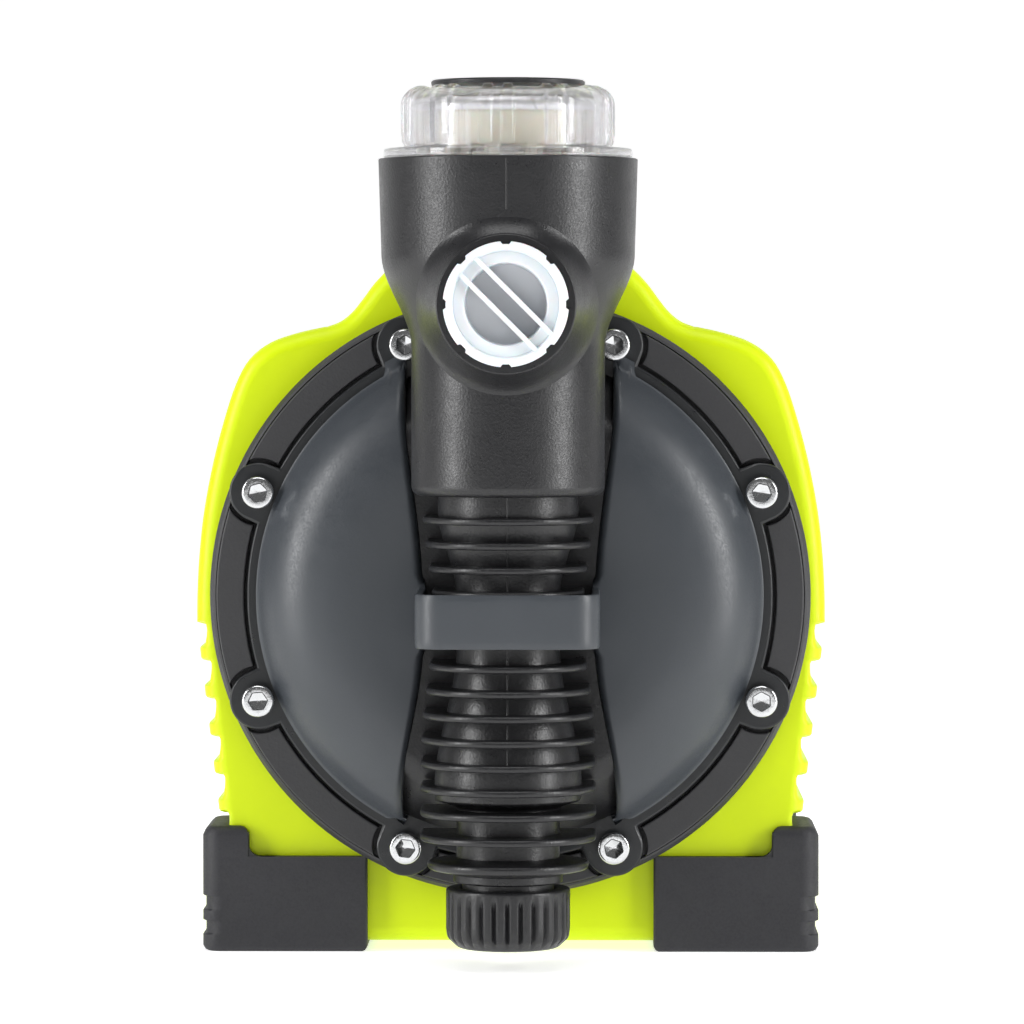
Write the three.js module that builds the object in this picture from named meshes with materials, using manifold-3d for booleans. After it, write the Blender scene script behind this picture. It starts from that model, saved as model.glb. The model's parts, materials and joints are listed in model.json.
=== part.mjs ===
// Self-priming garden pump with a clear-lidded filter tower.
// Millimetres, +Z up. The shaft runs along Y and the suction side faces -Y.
// The front flange plane is worked in as y = 0; the whole pump is then moved so that
// the origin is the middle of its footprint on the ground.
import * as THREE from 'three';
import { mergeVertices } from 'three/addons/utils/BufferGeometryUtils.js';
import Module from 'manifold-3d';

const wasm = await Module();
wasm.setup();

// ---- Clearances ----------------------------------------------------------------------
const seatGap = 0.3; // between two pieces that rest on each other
const runGap = 1; // between a turning piece and a fixed one
const skinGap = 0.5; // between the front cover and the casing behind it

// ---- Heights and lines ---------------------------------------------------------------
const shaftZ = 112.5; // shaft above the ground
const groundGap = 2.8; // underside of the housing above the ground

// ---- Front casing --------------------------------------------------------------------
const dishRimRadius = 75.5;
const dishShoulderRadius = 61;
const dishDepth = 24.5; // flange plane to the face of the dish
const dishWall = 3;
const flangeRadius = 82;
const flangeThickness = 6;
const boltCircle = 84.7;
const boltCount = 8;
const earRadius = 9.2;
const screwRadius = 3;
const screwHeadRadius = 5;
const screwHeadHeight = 6;
const hexSocket = 5; // across the flats
const hexDepth = 3;

// ---- Tower and column ----------------------------------------------------------------
const towerTop = 247.5;
const towerRadius = 39.5;
const towerSetback = 2.5; // tower wall in front of the flange plane
const towerY = -(towerRadius + towerSetback); // axis of the tower and of the column under it
const towerNeckRadius = 29.5;
const towerBottom = 145;
const towerWall = 3.5;
const towerFloor = 6;
const shoulderTop = 218; // where the tower starts to draw in
const shoulderBottom = 190; // where it has reached the neck
const mouthDraft = 0.9; // the tower widens this much from the shoulder to the mouth
const cornerRadius = 3;
const columnTopRadius = 21.5;
const columnWaistRadius = 15.8;
const columnFootRadius = 22.5;
const columnFootZ = 52;
const waistTop = 116;
const waistBottom = 99;
const columnBore = 10.5;
const webHalfWidth = 8;
const finPitch = 7.45;
const finThickness = 2.2;
const finCount = 14;
const finTopZ = 137.6;
const finRadius = 26.9;
const finWaistDrop = 4; // fins are this much smaller at the waist
const finWaistSpread = 24; // height over which they grow back
const footDiscZ = 31.7;
const footDiscThickness = 4.5;

// ---- Inlet and outlet ports ----------------------------------------------------------
const portZ = 203;
const portCollarRadius = 20.9;
const portStandOut = 3; // face of the inlet collar in front of the tower wall
const portReach = towerRadius + portStandOut; // tower axis to the face of the inlet collar
const portFlareRadius = 26;
const portFlareLength = 9;
const portBore = 16.6; // one inch pipe thread
const plugClearance = 0.4;
const plugFlangeRadius = 18.7;
const plugFlangeThickness = 3.2;
const plugRim = 2.3;
const plugBore = 11.7;
const plugLipDepth = 1.3;
const plugSpigot = 13;
const plugFloor = 2;
const plugBarWidth = 1.5;
const plugBarOffset = 3.3;
const gasketThickness = 1.3;
const outletY = 27;
const outletTop = 236;
const outletPipeRadius = 18;
const outletRimHeight = 10;
const outletBossRadius = 21;
const outletSocketDepth = 8;

// ---- Drain ---------------------------------------------------------------------------
const drainCapRadius = 19;
const drainCapBottom = 6.8;
const drainCapTop = 25.2;
const drainCapFloor = 3;
const drainFluteCount = 28;
const drainFluteDepth = 0.8;
const drainNeckRadius = 14.1;
const drainCollarRadius = 16.7;
const drainCollarBottom = 27;
const threadClearance = 0.5;

// ---- Filter and lid ------------------------------------------------------------------
const ledgeZ = 236; // shelf inside the tower mouth that the lid seal sits on
const ledgeRadius = 31.8;
const lidFlangeRadius = 38;
const lidFlangeThickness = 2.7;
const lidRadius = 31.7;
const lidWall = 2.4;
const lidTop = 269.4;
const lidShoulder = 4;
const lidRibPairs = 10;
const lidRibHalfAngle = 6;
const lidRibTurn = 12.6;
const lidRibWidth = 4;
const lidRibHeight = 1;
const lidDiscRadius = 23.5;
const lidDiscThickness = 1.6;
const sealThickness = 1.5;
const filterRadius = 18;
const filterWall = 2.4;
const filterTop = 262;
const filterFootRadius = 24;
const filterFootThickness = 3;
const filterWindowWidth = 9;
const filterBridge = 6;
const filterWindowRows = 2;

// ---- Non-return valve ----------------------------------------------------------------
const seatBore = 11;
const valveChamberRadius = 14.6;
const valveChamberBottom = 124;
const valveDiscRadius = 13.2;
const valveDiscThickness = 2.4;
const valveStemRadius = 2.2;
const valveGuideThickness = 3;
const valveGuideHub = 5;
const valveGuideRim = 2;
const valveGuideArm = 3;
const valveStemClearance = 0.4;
const valveTravel = 7;
const springRadius = 7;
const springWire = 0.7;
const springTurns = 4;

// ---- Front cover ---------------------------------------------------------------------
const coverThickness = 2.4;
const coverRimGap = 1.2; // rim of the cover in front of the flange
const recessWide = 32.5; // half width of the opening beside the tower
const recessNarrow = 25.3; // half width of the opening at the strap
const recessFootZ = 68;
const strapTop = 115.7;
const strapBottom = 99.3;
const strapHalfWidth = 27.6;
const strapThickness = 2.6;
const strapClearance = 1.2; // in front of the fins behind the strap
const strapCorner = 9;

// ---- Rear casing ---------------------------------------------------------------------
const ringRadius = 94;
const ringThickness = 5.5;
const padInner = 84;
const padOuter = 92.3;
const padHeight = 4;
const padEarGap = 2.2;
const drumRadius = 79;
const drumDepth = 46;
const drumWall = 5;
const sealHousingRadius = 13;
const oRingRadius = 1.6;
const oRingCircle = 78;

// ---- Rotating parts ------------------------------------------------------------------
const shaftRadius = 7.5;
const shaftNoseRadius = 6;
const rotorShaftRadius = 8.5;
const shaftFront = 14;
const shaftRear = 218;
const impellerRadius = 58;
const impellerFront = 21;
const impellerDepth = 12;
const shroudThickness = 2;
const impellerHub = 12;
const impellerEye = 17;
const vaneCount = 6;
const vaneThickness = 2.2;
const vaneSweep = 65;
const nutWidth = 13;
const nutDepth = 5;
const diffuserRadius = 72;
const diffuserFront = 5;
const diffuserDepth = 11;
const diffuserTubeRadius = 14;
const guideVaneCount = 5;
const guideVaneThickness = 3;
const guideVaneDepth = 7;
const sealHeadRadius = 11;
const sealHeadDepth = 4.6;

// ---- Motor ---------------------------------------------------------------------------
const bearingOuter = 17.5;
const bearingInner = 7.5;
const bearingWidth = 11;
const shieldPlate = 5;
const shieldHub = 22;
const shieldHubDepth = 18;
const frameRadius = 60;
const frameWall = 4.5;
const frameStart = 66;
const frameLength = 108;
const frameFinCount = 12;
const frameFinHeight = 3;
const statorLength = 70;
const statorInner = 31.6;
const airGap = 0.6;
const windingDepth = 13;
const windingInner = 34;
const windingOuter = 50;
const fanHub = 14;
const fanRadius = 50;
const fanDepth = 15;
const fanDisc = 2.5;
const fanBladeCount = 7;
const fanRearRoom = 2; // shaft end past the fan
const capacitorRadius = 16;
const capacitorLength = 68;
const capacitorX = 64;
const capacitorZ = 42;
const capacitorFront = 100;
const clipThickness = 2.5;
const clipWidth = 24;

// ---- Housing -------------------------------------------------------------------------
const housingHalfWidth = 99;
const housingWaistZ = 103;
const housingTop = 196.5;
const housingTopHalfWidth = 57.8;
const housingFront = 10;
const housingLength = 232;
const housingWall = 3;
const housingFootHalfWidth = 88;
const housingFootCorner = 8;
const louvreCount = 6;
const louvrePitch = 12;
const louvreDepth = 2.6;
const louvreSlotHeight = 3;
const louvreSlotLength = 62;
const louvreSlotGap = 12;
const louvreSlotBanks = 2;
const humpLength = 42;
const humpShoulderX = 41.6;
const humpShoulderZ = 211;
const humpTopHalfWidth = 30;
const humpTop = 221;
const rearCoverDepth = 24;
const rearCoverInset = 7;
const grilleSlotHeight = 3.6;
const grilleSlotPitch = 9;
const grilleSlotCount = 9;
const grilleHalfWidth = 48;

// ---- Handle, feet, switch, cable entry -----------------------------------------------
const handleFront = 66;
const handleLength = 160;
const handleTop = 243;
const handleBar = 15;
const handlePost = 20;
const handleHalfWidth = 14;
const handleRadius = 12;
const footInner = 45;
const footOuter = 97;
const footHeight = 30;
const footLength = 44;
const footFrontPlate = 3.7;
const footUpstand = 39.5;
const footUpstandInner = 82;
const footCorner = 4;
const footScrewRadius = 2.5;
const footScrewHead = 4.5;
const footScrewHeadHeight = 2;
const footScrewLength = 11;
const footScrewX = 66;
const footPadHeight = 2.2;
const switchZ = 160;
const switchHalfWidth = 16;
const switchHalfHeight = 11;
const switchBezel = 2.5;
const switchBezelProud = 2;
const switchBodyDepth = 12;
const rockerThickness = 5;
const rockerAngle = 10;
const glandX = -52;
const glandZ = 62;
const glandBodyRadius = 10;
const glandNutRadius = 9;
const glandBore = 4;
const glandReach = 14;
const coverScrewX = 74;
const coverScrewZ = 158;

// ---- Materials -----------------------------------------------------------------------
const paint = (color, roughness, metalness = 0) =>
  new THREE.MeshStandardMaterial({ color, roughness, metalness });
const blackPlastic = () => paint('#2c2c2e', 0.5);
const greyPlastic = () => paint('#4a4e52', 0.45);
const ringPlastic = () => paint('#3c3c3e', 0.65);
const greenPlastic = () => paint('#c4dc00', 0.4);
const footPlastic = () => paint('#38383c', 0.6);
const whitePlastic = () => paint('#e9eef2', 0.4);
const creamPlastic = () => paint('#e8e0cc', 0.5);
const clearPlastic = () => paint('#e8e8f0', 0.05);
const rubber = () => paint('#1c1c1c', 0.85);
const steel = () => paint('#c8c8c8', 0.25, 1);
const aluminium = () => paint('#b4b6b8', 0.45, 1);
const copper = () => paint('#b5703a', 0.4, 1);
const laminations = () => paint('#6c6e72', 0.55, 1);
const hydraulicPlastic = () => paint('#2f3236', 0.5);

// ---- Shape helpers -------------------------------------------------------------------
const bigRound = 28; // sides of the flange, dish and drum
const wideRound = 20; // sides of the tower, lid and motor
const middleRound = 16; // sides of ports and necks
const littleRound = 12; // sides of fins, hubs and bearings
const smallRound = 8; // sides of screws and small bores

// A closed mesh as a solid, with its faces turned outwards.
function solid(geometry) {
  const plain = geometry.index ? geometry.toNonIndexed() : geometry.clone();
  plain.deleteAttribute('normal');
  plain.deleteAttribute('uv');
  const merged = mergeVertices(plain, 1e-4);
  const position = merged.attributes.position;
  const corners = merged.index.array;
  const triangles = [];
  let volume = 0;
  const [a, b, c] = [new THREE.Vector3(), new THREE.Vector3(), new THREE.Vector3()];
  for (let i = 0; i < corners.length; i += 3) {
    const [p, q, r] = [corners[i], corners[i + 1], corners[i + 2]];
    if (p === q || q === r || r === p) continue;
    triangles.push(p, q, r);
    a.fromBufferAttribute(position, p);
    b.fromBufferAttribute(position, q);
    c.fromBufferAttribute(position, r);
    volume += a.dot(b.cross(c));
  }
  if (volume < 0) triangles.reverse();
  return new wasm.Manifold(new wasm.Mesh({
    numProp: 3,
    vertProperties: new Float32Array(position.array),
    triVerts: new Uint32Array(triangles),
  }));
}

const join = (first, ...others) => others.reduce((whole, other) => whole.add(other), first);
const cut = (first, ...others) => others.reduce((whole, other) => whole.subtract(other), first);

function box(x0, x1, y0, y1, z0, z1) {
  const geometry = new THREE.BoxGeometry(x1 - x0, y1 - y0, z1 - z0);
  geometry.translate((x0 + x1) / 2, (y0 + y1) / 2, (z0 + z1) / 2);
  return solid(geometry);
}

// A profile of [radius, height] points turned about Z at (x, y).
function turnedZ(points, x, y, segments = middleRound) {
  const geometry = new THREE.LatheGeometry(points.map((p) => new THREE.Vector2(p[0], p[1])), segments);
  geometry.rotateX(Math.PI / 2);
  geometry.translate(x, y, 0);
  return solid(geometry);
}

// A profile of [radius, depth] points turned about Y at (x, z).
function turnedY(points, x, z, segments = middleRound) {
  const geometry = new THREE.LatheGeometry(points.map((p) => new THREE.Vector2(p[0], p[1])), segments);
  geometry.translate(x, 0, z);
  return solid(geometry);
}

const rodProfile = (radius, from, to) => [[0, from], [radius, from], [radius, to], [0, to]];
const ringProfile = (inner, outer, from, to) =>
  [[inner, from], [outer, from], [outer, to], [inner, to], [inner, from]];
const rodZ = (radius, from, to, x, y, segments) => turnedZ(rodProfile(radius, from, to), x, y, segments);
const rodY = (radius, from, to, x, z, segments) => turnedY(rodProfile(radius, from, to), x, z, segments);
const ringZ = (inner, outer, from, to, x, y, segments) =>
  turnedZ(ringProfile(inner, outer, from, to), x, y, segments);
const ringY = (inner, outer, from, to, x, z, segments) =>
  turnedY(ringProfile(inner, outer, from, to), x, z, segments);

// A flat outline in x and z, pushed along Y.
function prismY(shape, from, to, curveSegments = 8) {
  const options = { depth: to - from, bevelEnabled: false, curveSegments };
  const geometry = new THREE.ExtrudeGeometry(shape, options);
  geometry.rotateX(Math.PI / 2);
  geometry.translate(0, to, 0);
  return solid(geometry);
}

// A flat outline in x and y, pushed along Z.
function prismZ(shape, from, to, curveSegments = 8) {
  const options = { depth: to - from, bevelEnabled: false, curveSegments };
  const geometry = new THREE.ExtrudeGeometry(shape, options);
  geometry.translate(0, 0, from);
  return solid(geometry);
}

// A flat outline in y and z, pushed along X.
function prismX(shape, from, to, curveSegments = 8) {
  const options = { depth: to - from, bevelEnabled: false, curveSegments };
  const geometry = new THREE.ExtrudeGeometry(shape, options);
  geometry.rotateX(Math.PI / 2);
  geometry.rotateZ(Math.PI / 2);
  geometry.translate(from, 0, 0);
  return solid(geometry);
}

function polygon(points) {
  return new THREE.Shape(points.map((p) => new THREE.Vector2(p[0], p[1])));
}

function roundedRectangle(x0, x1, y0, y1, radius) {
  const shape = new THREE.Shape();
  shape.moveTo(x0 + radius, y0);
  shape.lineTo(x1 - radius, y0);
  shape.absarc(x1 - radius, y0 + radius, radius, -Math.PI / 2, 0);
  shape.lineTo(x1, y1 - radius);
  shape.absarc(x1 - radius, y1 - radius, radius, 0, Math.PI / 2);
  shape.lineTo(x0 + radius, y1);
  shape.absarc(x0 + radius, y1 - radius, radius, Math.PI / 2, Math.PI);
  shape.lineTo(x0, y0 + radius);
  shape.absarc(x0 + radius, y0 + radius, radius, Math.PI, Math.PI * 1.5);
  return shape;
}

function hexagon(acrossFlats, x, y) {
  const reach = acrossFlats / Math.sqrt(3);
  const corners = [];
  for (let i = 0; i < 6; i += 1) {
    const angle = (i * Math.PI) / 3;
    corners.push([x + reach * Math.cos(angle), y + reach * Math.sin(angle)]);
  }
  return polygon(corners);
}

// Places on a circle about the shaft, as [x, z, angle].
function aroundShaft(count, radius, start = 0) {
  const places = [];
  for (let i = 0; i < count; i += 1) {
    const angle = start + (i * 2 * Math.PI) / count;
    places.push([radius * Math.cos(angle), shaftZ + radius * Math.sin(angle), angle]);
  }
  return places;
}

const boltPlaces = aroundShaft(boltCount, boltCircle, Math.PI / boltCount);
const smooth = (t) => t * t * (3 - 2 * t);

const pump = new THREE.Group();
const parts = new THREE.Group();
pump.add(parts);

function show(name, body, material) {
  const mesh = body.getMesh();
  const geometry = new THREE.BufferGeometry();
  geometry.setAttribute('position', new THREE.BufferAttribute(mesh.vertProperties, 3));
  geometry.setIndex(new THREE.BufferAttribute(mesh.triVerts, 1));
  const node = new THREE.Mesh(geometry, material);
  node.name = name;
  parts.add(node);
}

// ---- Front casing, one moulding: dish, flange, tower, column, fins, port --------------
// The dish about the shaft, grown outwards by `grow` (or inwards when it is negative).
function dish(grow, back) {
  const face = -dishDepth - grow;
  const shoulder = dishShoulderRadius + grow;
  const rim = dishRimRadius + grow * 1.3;
  const points = [[0, face], [shoulder - 4, face], [shoulder, face + 1.6]];
  points.push([shoulder + 2.6, face + 5], [rim, -flangeThickness], [rim, back], [0, back]);
  return turnedY(points, 0, shaftZ, bigRound);
}

// Radius of the tower at a height, less `inset`.
function towerProfile(inset, from, to) {
  const points = [];
  const steps = 4;
  const neck = towerNeckRadius - inset;
  const top = towerRadius - mouthDraft - inset;
  for (let i = 0; i <= steps; i += 1) {
    const t = i / steps;
    const z = shoulderBottom + (shoulderTop - shoulderBottom) * t;
    points.push([neck + (top - neck) * smooth(t), z]);
  }
  return [[0, from], [neck, from], ...points, [towerRadius - inset, to], [0, to]];
}

function towerOuter() {
  const [, first, ...rest] = towerProfile(0, towerBottom, towerTop);
  const rounded = [];
  for (let i = 0; i <= 3; i += 1) {
    const angle = (i / 3) * (Math.PI / 2);
    const radius = first[0] - cornerRadius * (1 - Math.sin(angle));
    rounded.push([radius, towerBottom + cornerRadius * (1 - Math.cos(angle))]);
  }
  return turnedZ([[0, towerBottom], ...rounded, ...rest], 0, towerY, wideRound);
}

function towerHollow() {
  const floor = towerBottom + towerFloor + 1;
  const chamber = turnedZ(towerProfile(towerWall, floor, ledgeZ - 2), 0, towerY, wideRound);
  const throat = rodZ(ledgeRadius, ledgeZ - 3, ledgeZ + 1, 0, towerY, wideRound);
  const mouth = rodZ(towerRadius - towerWall, ledgeZ, towerTop + 1, 0, towerY, wideRound);
  return join(chamber, throat, mouth);
}

function column() {
  const points = [[0, drainNeckBottom], [drainNeckRadius, drainNeckBottom]];
  points.push([drainNeckRadius, drainCollarBottom], [drainCollarRadius, drainCollarBottom]);
  points.push([drainCollarRadius, footDiscZ], [columnWaistRadius, footDiscZ]);
  points.push([columnWaistRadius, columnFootZ - 4], [columnFootRadius, columnFootZ]);
  points.push([columnWaistRadius, waistBottom], [columnWaistRadius, waistTop]);
  points.push([columnTopRadius, towerBottom], [columnTopRadius, towerBottom + 2], [0, towerBottom + 2]);
  return turnedZ(points, 0, towerY, littleRound);
}

function finRadiusAt(z) {
  const waistZ = (waistTop + waistBottom) / 2;
  return finRadius - finWaistDrop * Math.exp(-(((z - waistZ) / finWaistSpread) ** 2));
}

// A fin is round in front and square at the back, where it ends inside the dish wall.
function finShape(radius) {
  const back = -dishDepth + dishWall / 2;
  const shape = new THREE.Shape();
  shape.moveTo(radius, back);
  shape.lineTo(-radius, back);
  shape.absarc(0, towerY, radius, Math.PI, 2 * Math.PI);
  return shape;
}

function fins() {
  const discs = [];
  for (let i = 0; i < finCount; i += 1) {
    const z = finTopZ - i * finPitch;
    discs.push(prismZ(finShape(finRadiusAt(z)), z - finThickness / 2, z + finThickness / 2, 4));
  }
  const low = footDiscZ - footDiscThickness / 2;
  return join(prismZ(finShape(finRadius), low, low + footDiscThickness, 4), ...discs);
}

function inletCollar() {
  const face = towerY - portReach;
  const root = towerY - towerNeckRadius + towerWall;
  const flare = face + portFlareLength;
  const points = [[0, face], [portCollarRadius - 1, face], [portCollarRadius, face + 1]];
  points.push([portCollarRadius + 0.6, face + portFlareLength * 0.6]);
  points.push([portFlareRadius, flare + 3], [portFlareRadius, root], [0, root]);
  return turnedY(points, 0, portZ);
}

const drainNeckBottom = drainCapBottom + drainCapFloor + sealThickness + 2 * seatGap;
const flangeBack = -seatGap;

function frontCasing() {
  const ears = boltPlaces.map(([x, z]) => rodY(earRadius, -flangeThickness, flangeBack, x, z, littleRound));
  const web = box(-webHalfWidth, webHalfWidth, towerY, -dishDepth + 1, columnFootZ, towerBottom + 1);
  const flange = rodY(flangeRadius, -flangeThickness, flangeBack, 0, shaftZ, bigRound);
  const outside = join(
    flange, ...ears, dish(0, flangeBack), web, column(), fins(), towerOuter(), inletCollar(),
  );
  const holes = boltPlaces.map(([x, z]) =>
    rodY(screwRadius + seatGap, -flangeThickness - 1, 1, x, z, smallRound));
  return cut(
    outside,
    dish(-dishWall, 1),
    towerHollow(),
    rodY(portBore, towerY - portReach - 1, towerY, 0, portZ),
    rodZ(seatBore, valveChamberBottom, towerBottom + towerFloor + 2, 0, towerY, littleRound),
    rodZ(valveChamberRadius, valveChamberBottom, towerBottom, 0, towerY, littleRound),
    rodZ(columnBore, drainNeckBottom - 1, valveChamberBottom + 1, 0, towerY, littleRound),
    rodY(columnBore, towerY, -dishDepth + dishWall + 1, 0, shaftZ, littleRound),
    ...holes,
  );
}

// ---- Front cover: two lobes joined by a strap round the column ------------------------
function recessShape() {
  const above = towerTop;
  const below = shaftZ - dishRimRadius * 1.2;
  const side = [
    [recessWide, above], [recessWide, towerBottom + 4], [recessNarrow, waistTop],
    [recessNarrow, waistBottom], [recessWide, recessFootZ], [recessWide, below],
  ];
  const mirrored = side.map(([x, z]) => [-x, z]).reverse();
  return polygon([...side, ...mirrored]);
}

function strapShape(inset) {
  const half = strapHalfWidth - inset;
  const back = -dishDepth - skinGap - coverThickness / 2;
  const reach = finRadiusAt((strapTop + strapBottom) / 2) + strapClearance + strapThickness - inset;
  const front = towerY - reach;
  const corner = Math.max(strapCorner - inset, 1);
  const shape = new THREE.Shape();
  shape.moveTo(-half, back);
  shape.lineTo(-half, front + corner);
  shape.absarc(-half + corner, front + corner, corner, Math.PI, Math.PI * 1.5);
  shape.lineTo(half - corner, front);
  shape.absarc(half - corner, front + corner, corner, -Math.PI / 2, 0);
  shape.lineTo(half, back);
  return shape;
}

function frontCover() {
  const rim = -flangeThickness - coverRimGap;
  const skin = cut(dish(skinGap + coverThickness, rim), dish(skinGap, rim + 1));
  const lobes = cut(skin, prismY(recessShape(), -dishDepth * 2, 1));
  const strap = cut(
    prismZ(strapShape(0), strapBottom, strapTop, 4),
    prismZ(strapShape(strapThickness), strapBottom - 1, strapTop + 1, 4),
    dish(skinGap, rim + 1),
  );
  const headRoom = boltPlaces.map(([x, z]) =>
    rodY(screwHeadRadius + runGap, -dishDepth * 2, 1, x, z, smallRound));
  return cut(join(lobes, strap), ...headRoom);
}

// ---- Cover screws --------------------------------------------------------------------
function socketScrew(x, z) {
  const headBack = -flangeThickness - seatGap;
  const headFront = headBack - screwHeadHeight;
  const profile = [[0, headFront], [screwHeadRadius - 0.5, headFront], [screwHeadRadius, headFront + 0.5]];
  profile.push([screwHeadRadius, headBack], [screwRadius, headBack]);
  profile.push([screwRadius, ringThickness - seatGap], [0, ringThickness - seatGap]);
  return cut(
    turnedY(profile, x, z, smallRound),
    prismY(hexagon(hexSocket, x, z), headFront - 1, headFront + hexDepth),
  );
}

// ---- Rear casing: ring with pads in front, drum behind --------------------------------
function rearCasing() {
  const padRing = ringY(padInner, padOuter, -padHeight, 1, 0, shaftZ, bigRound);
  const earRoom = boltPlaces.map(([x, z]) =>
    rodY(earRadius + padEarGap, -padHeight - 1, 0, x, z, smallRound));
  const pads = cut(padRing, ...earRoom);
  const ring = rodY(ringRadius, 0, ringThickness, 0, shaftZ, bigRound);
  const drum = rodY(drumRadius, ringThickness - 1, drumDepth, 0, shaftZ, bigRound);
  const bossTop = shaftZ + drumRadius + outletSocketDepth / 2;
  const bossLow = shaftZ + Math.max(drumRadius * 0.8, frameRadius + runGap); // clear of the motor behind it
  const boss = rodZ(outletBossRadius, bossLow, bossTop, 0, outletY);
  const inner = rodY(drumRadius - drumWall, -1, drumDepth - drumWall, 0, shaftZ, bigRound);
  const socket = rodZ(
    outletPipeRadius + seatGap, bossTop - outletSocketDepth, bossTop + 1, 0, outletY);
  const passage = rodZ(outletPipeRadius - towerWall, shaftZ + drumRadius * 0.7, bossTop, 0, outletY);
  const sealHole = rodY(sealHousingRadius, drumDepth - drumWall - 1, drumDepth + 1, 0, shaftZ);
  const threads = boltPlaces.map(([x, z]) =>
    rodY(screwRadius + seatGap, -1, ringThickness + 1, x, z, smallRound));
  const groove = ringY(
    oRingCircle - oRingRadius - seatGap, oRingCircle + oRingRadius + seatGap,
    -1, oRingRadius * 1.6, 0, shaftZ, bigRound);
  return cut(join(pads, ring, drum, boss), inner, socket, passage, sealHole, groove, ...threads);
}

function casingORing() {
  const depth = oRingRadius * 1.6 - seatGap;
  return ringY(oRingCircle - oRingRadius, oRingCircle + oRingRadius, 0, depth, 0, shaftZ, bigRound);
}

// ---- Filter lid, seal, disc, insert --------------------------------------------------
const sealBottom = ledgeZ + seatGap;
const skirtBottom = sealBottom + sealThickness + seatGap;
const lidSeat = towerTop + seatGap;
const skirtOuter = towerRadius - towerWall - threadClearance;

function lidRibs() {
  const ribs = [];
  for (let i = 0; i < lidRibPairs * 2; i += 1) {
    const pair = Math.floor(i / 2);
    const side = i % 2 === 0 ? -1 : 1;
    const degrees = lidRibTurn + (pair * 360) / lidRibPairs + side * lidRibHalfAngle;
    const geometry = new THREE.BoxGeometry(lidRibWidth, lidWall + lidRibHeight, lidTop - lidSeat - 2);
    const out = lidRadius + lidRibHeight - (lidWall + lidRibHeight) / 2;
    geometry.translate(0, -out, (lidTop + lidSeat) / 2);
    geometry.rotateZ(THREE.MathUtils.degToRad(degrees));
    geometry.translate(0, towerY, 0);
    ribs.push(solid(geometry));
  }
  return ribs;
}

function filterLid() {
  const inside = lidRadius - lidWall;
  const skirtInner = skirtOuter - lidWall;
  const flangeTop = lidSeat + lidFlangeThickness;
  const points = [
    [0, lidTop], [lidRadius - lidShoulder, lidTop],
    [lidRadius - lidShoulder * 0.3, lidTop - lidShoulder * 0.3], [lidRadius, lidTop - lidShoulder],
    [lidRadius, flangeTop], [lidFlangeRadius, flangeTop], [lidFlangeRadius, lidSeat],
    [skirtOuter, lidSeat], [skirtOuter, skirtBottom], [skirtInner, skirtBottom],
    [skirtInner, lidSeat], [inside, flangeTop], [inside, lidTop - lidShoulder],
    [inside - lidShoulder * 0.7, lidTop - lidWall], [0, lidTop - lidWall],
  ];
  return join(turnedZ(points, 0, towerY, wideRound), ...lidRibs());
}

const lidDiscBottom = lidTop + seatGap;
const filterBottom = towerBottom + towerFloor + 1 + seatGap;

function filterInsert() {
  const inner = filterRadius - filterWall;
  const foot = filterBottom + filterFootThickness;
  const points = [
    [inner, filterBottom], [filterFootRadius, filterBottom], [filterFootRadius, foot],
    [filterRadius, foot], [filterRadius, filterTop], [0, filterTop], [0, filterTop - filterWall],
    [inner, filterTop - filterWall], [inner, filterBottom],
  ];
  const windowRun = (filterTop - foot - filterBridge) / filterWindowRows;
  const windows = [];
  for (let row = 0; row < filterWindowRows; row += 1) {
    const low = foot + filterBridge + row * windowRun;
    const high = low + windowRun - filterBridge;
    for (let i = 0; i < 3; i += 1) {
      const geometry = new THREE.BoxGeometry(filterRadius * 3, filterWindowWidth, high - low);
      geometry.translate(0, 0, (low + high) / 2);
      geometry.rotateZ((i * Math.PI) / 3);
      geometry.translate(0, towerY, 0);
      windows.push(solid(geometry));
    }
  }
  return cut(turnedZ(points, 0, towerY, littleRound), ...windows);
}

// ---- Threaded plugs, built pointing up from z = 0 at the port face --------------------
function plugGeometry() {
  const flangeLow = gasketThickness + 2 * seatGap;
  const flangeTop = flangeLow + plugFlangeThickness;
  const spigot = portBore - plugClearance;
  const lip = plugFlangeRadius - plugRim;
  const floor = flangeTop - plugLipDepth;
  const points = [
    [0, -plugSpigot], [spigot, -plugSpigot], [spigot, flangeLow], [plugFlangeRadius, flangeLow],
    [plugFlangeRadius, flangeTop], [lip, flangeTop], [lip, floor], [plugBore, floor],
    [plugBore, plugFloor - plugSpigot], [0, plugFloor - plugSpigot],
  ];
  const shell = turnedZ(points, 0, 0);
  const bar = (side, radius, low, high) => {
    const reach = Math.sqrt(radius ** 2 - plugBarOffset ** 2);
    const middle = side * plugBarOffset;
    return box(middle - plugBarWidth / 2, middle + plugBarWidth / 2, -reach, reach, low, high);
  };
  const bars = [-1, 1].flatMap((side) => [
    bar(side, plugBore + 1, plugFloor - plugSpigot - 0.5, floor + 0.01),
    bar(side, lip + plugRim / 2, floor - 0.5, flangeTop),
  ]);
  return join(shell, ...bars);
}

function asGeometry(body) {
  const mesh = body.getMesh();
  const geometry = new THREE.BufferGeometry();
  geometry.setAttribute('position', new THREE.BufferAttribute(mesh.vertProperties, 3));
  geometry.setIndex(new THREE.BufferAttribute(mesh.triVerts, 1));
  return geometry;
}

function inletPlug() {
  const geometry = asGeometry(plugGeometry());
  geometry.rotateZ(Math.PI / 4);
  geometry.rotateX(Math.PI / 2);
  geometry.translate(0, towerY - portReach, portZ);
  return solid(geometry);
}

function outletPlug() {
  const geometry = asGeometry(plugGeometry());
  geometry.translate(0, outletY, outletTop);
  return solid(geometry);
}

const gasketInner = portBore + seatGap;
const gasketOuter = plugFlangeRadius - 0.2;

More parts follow.
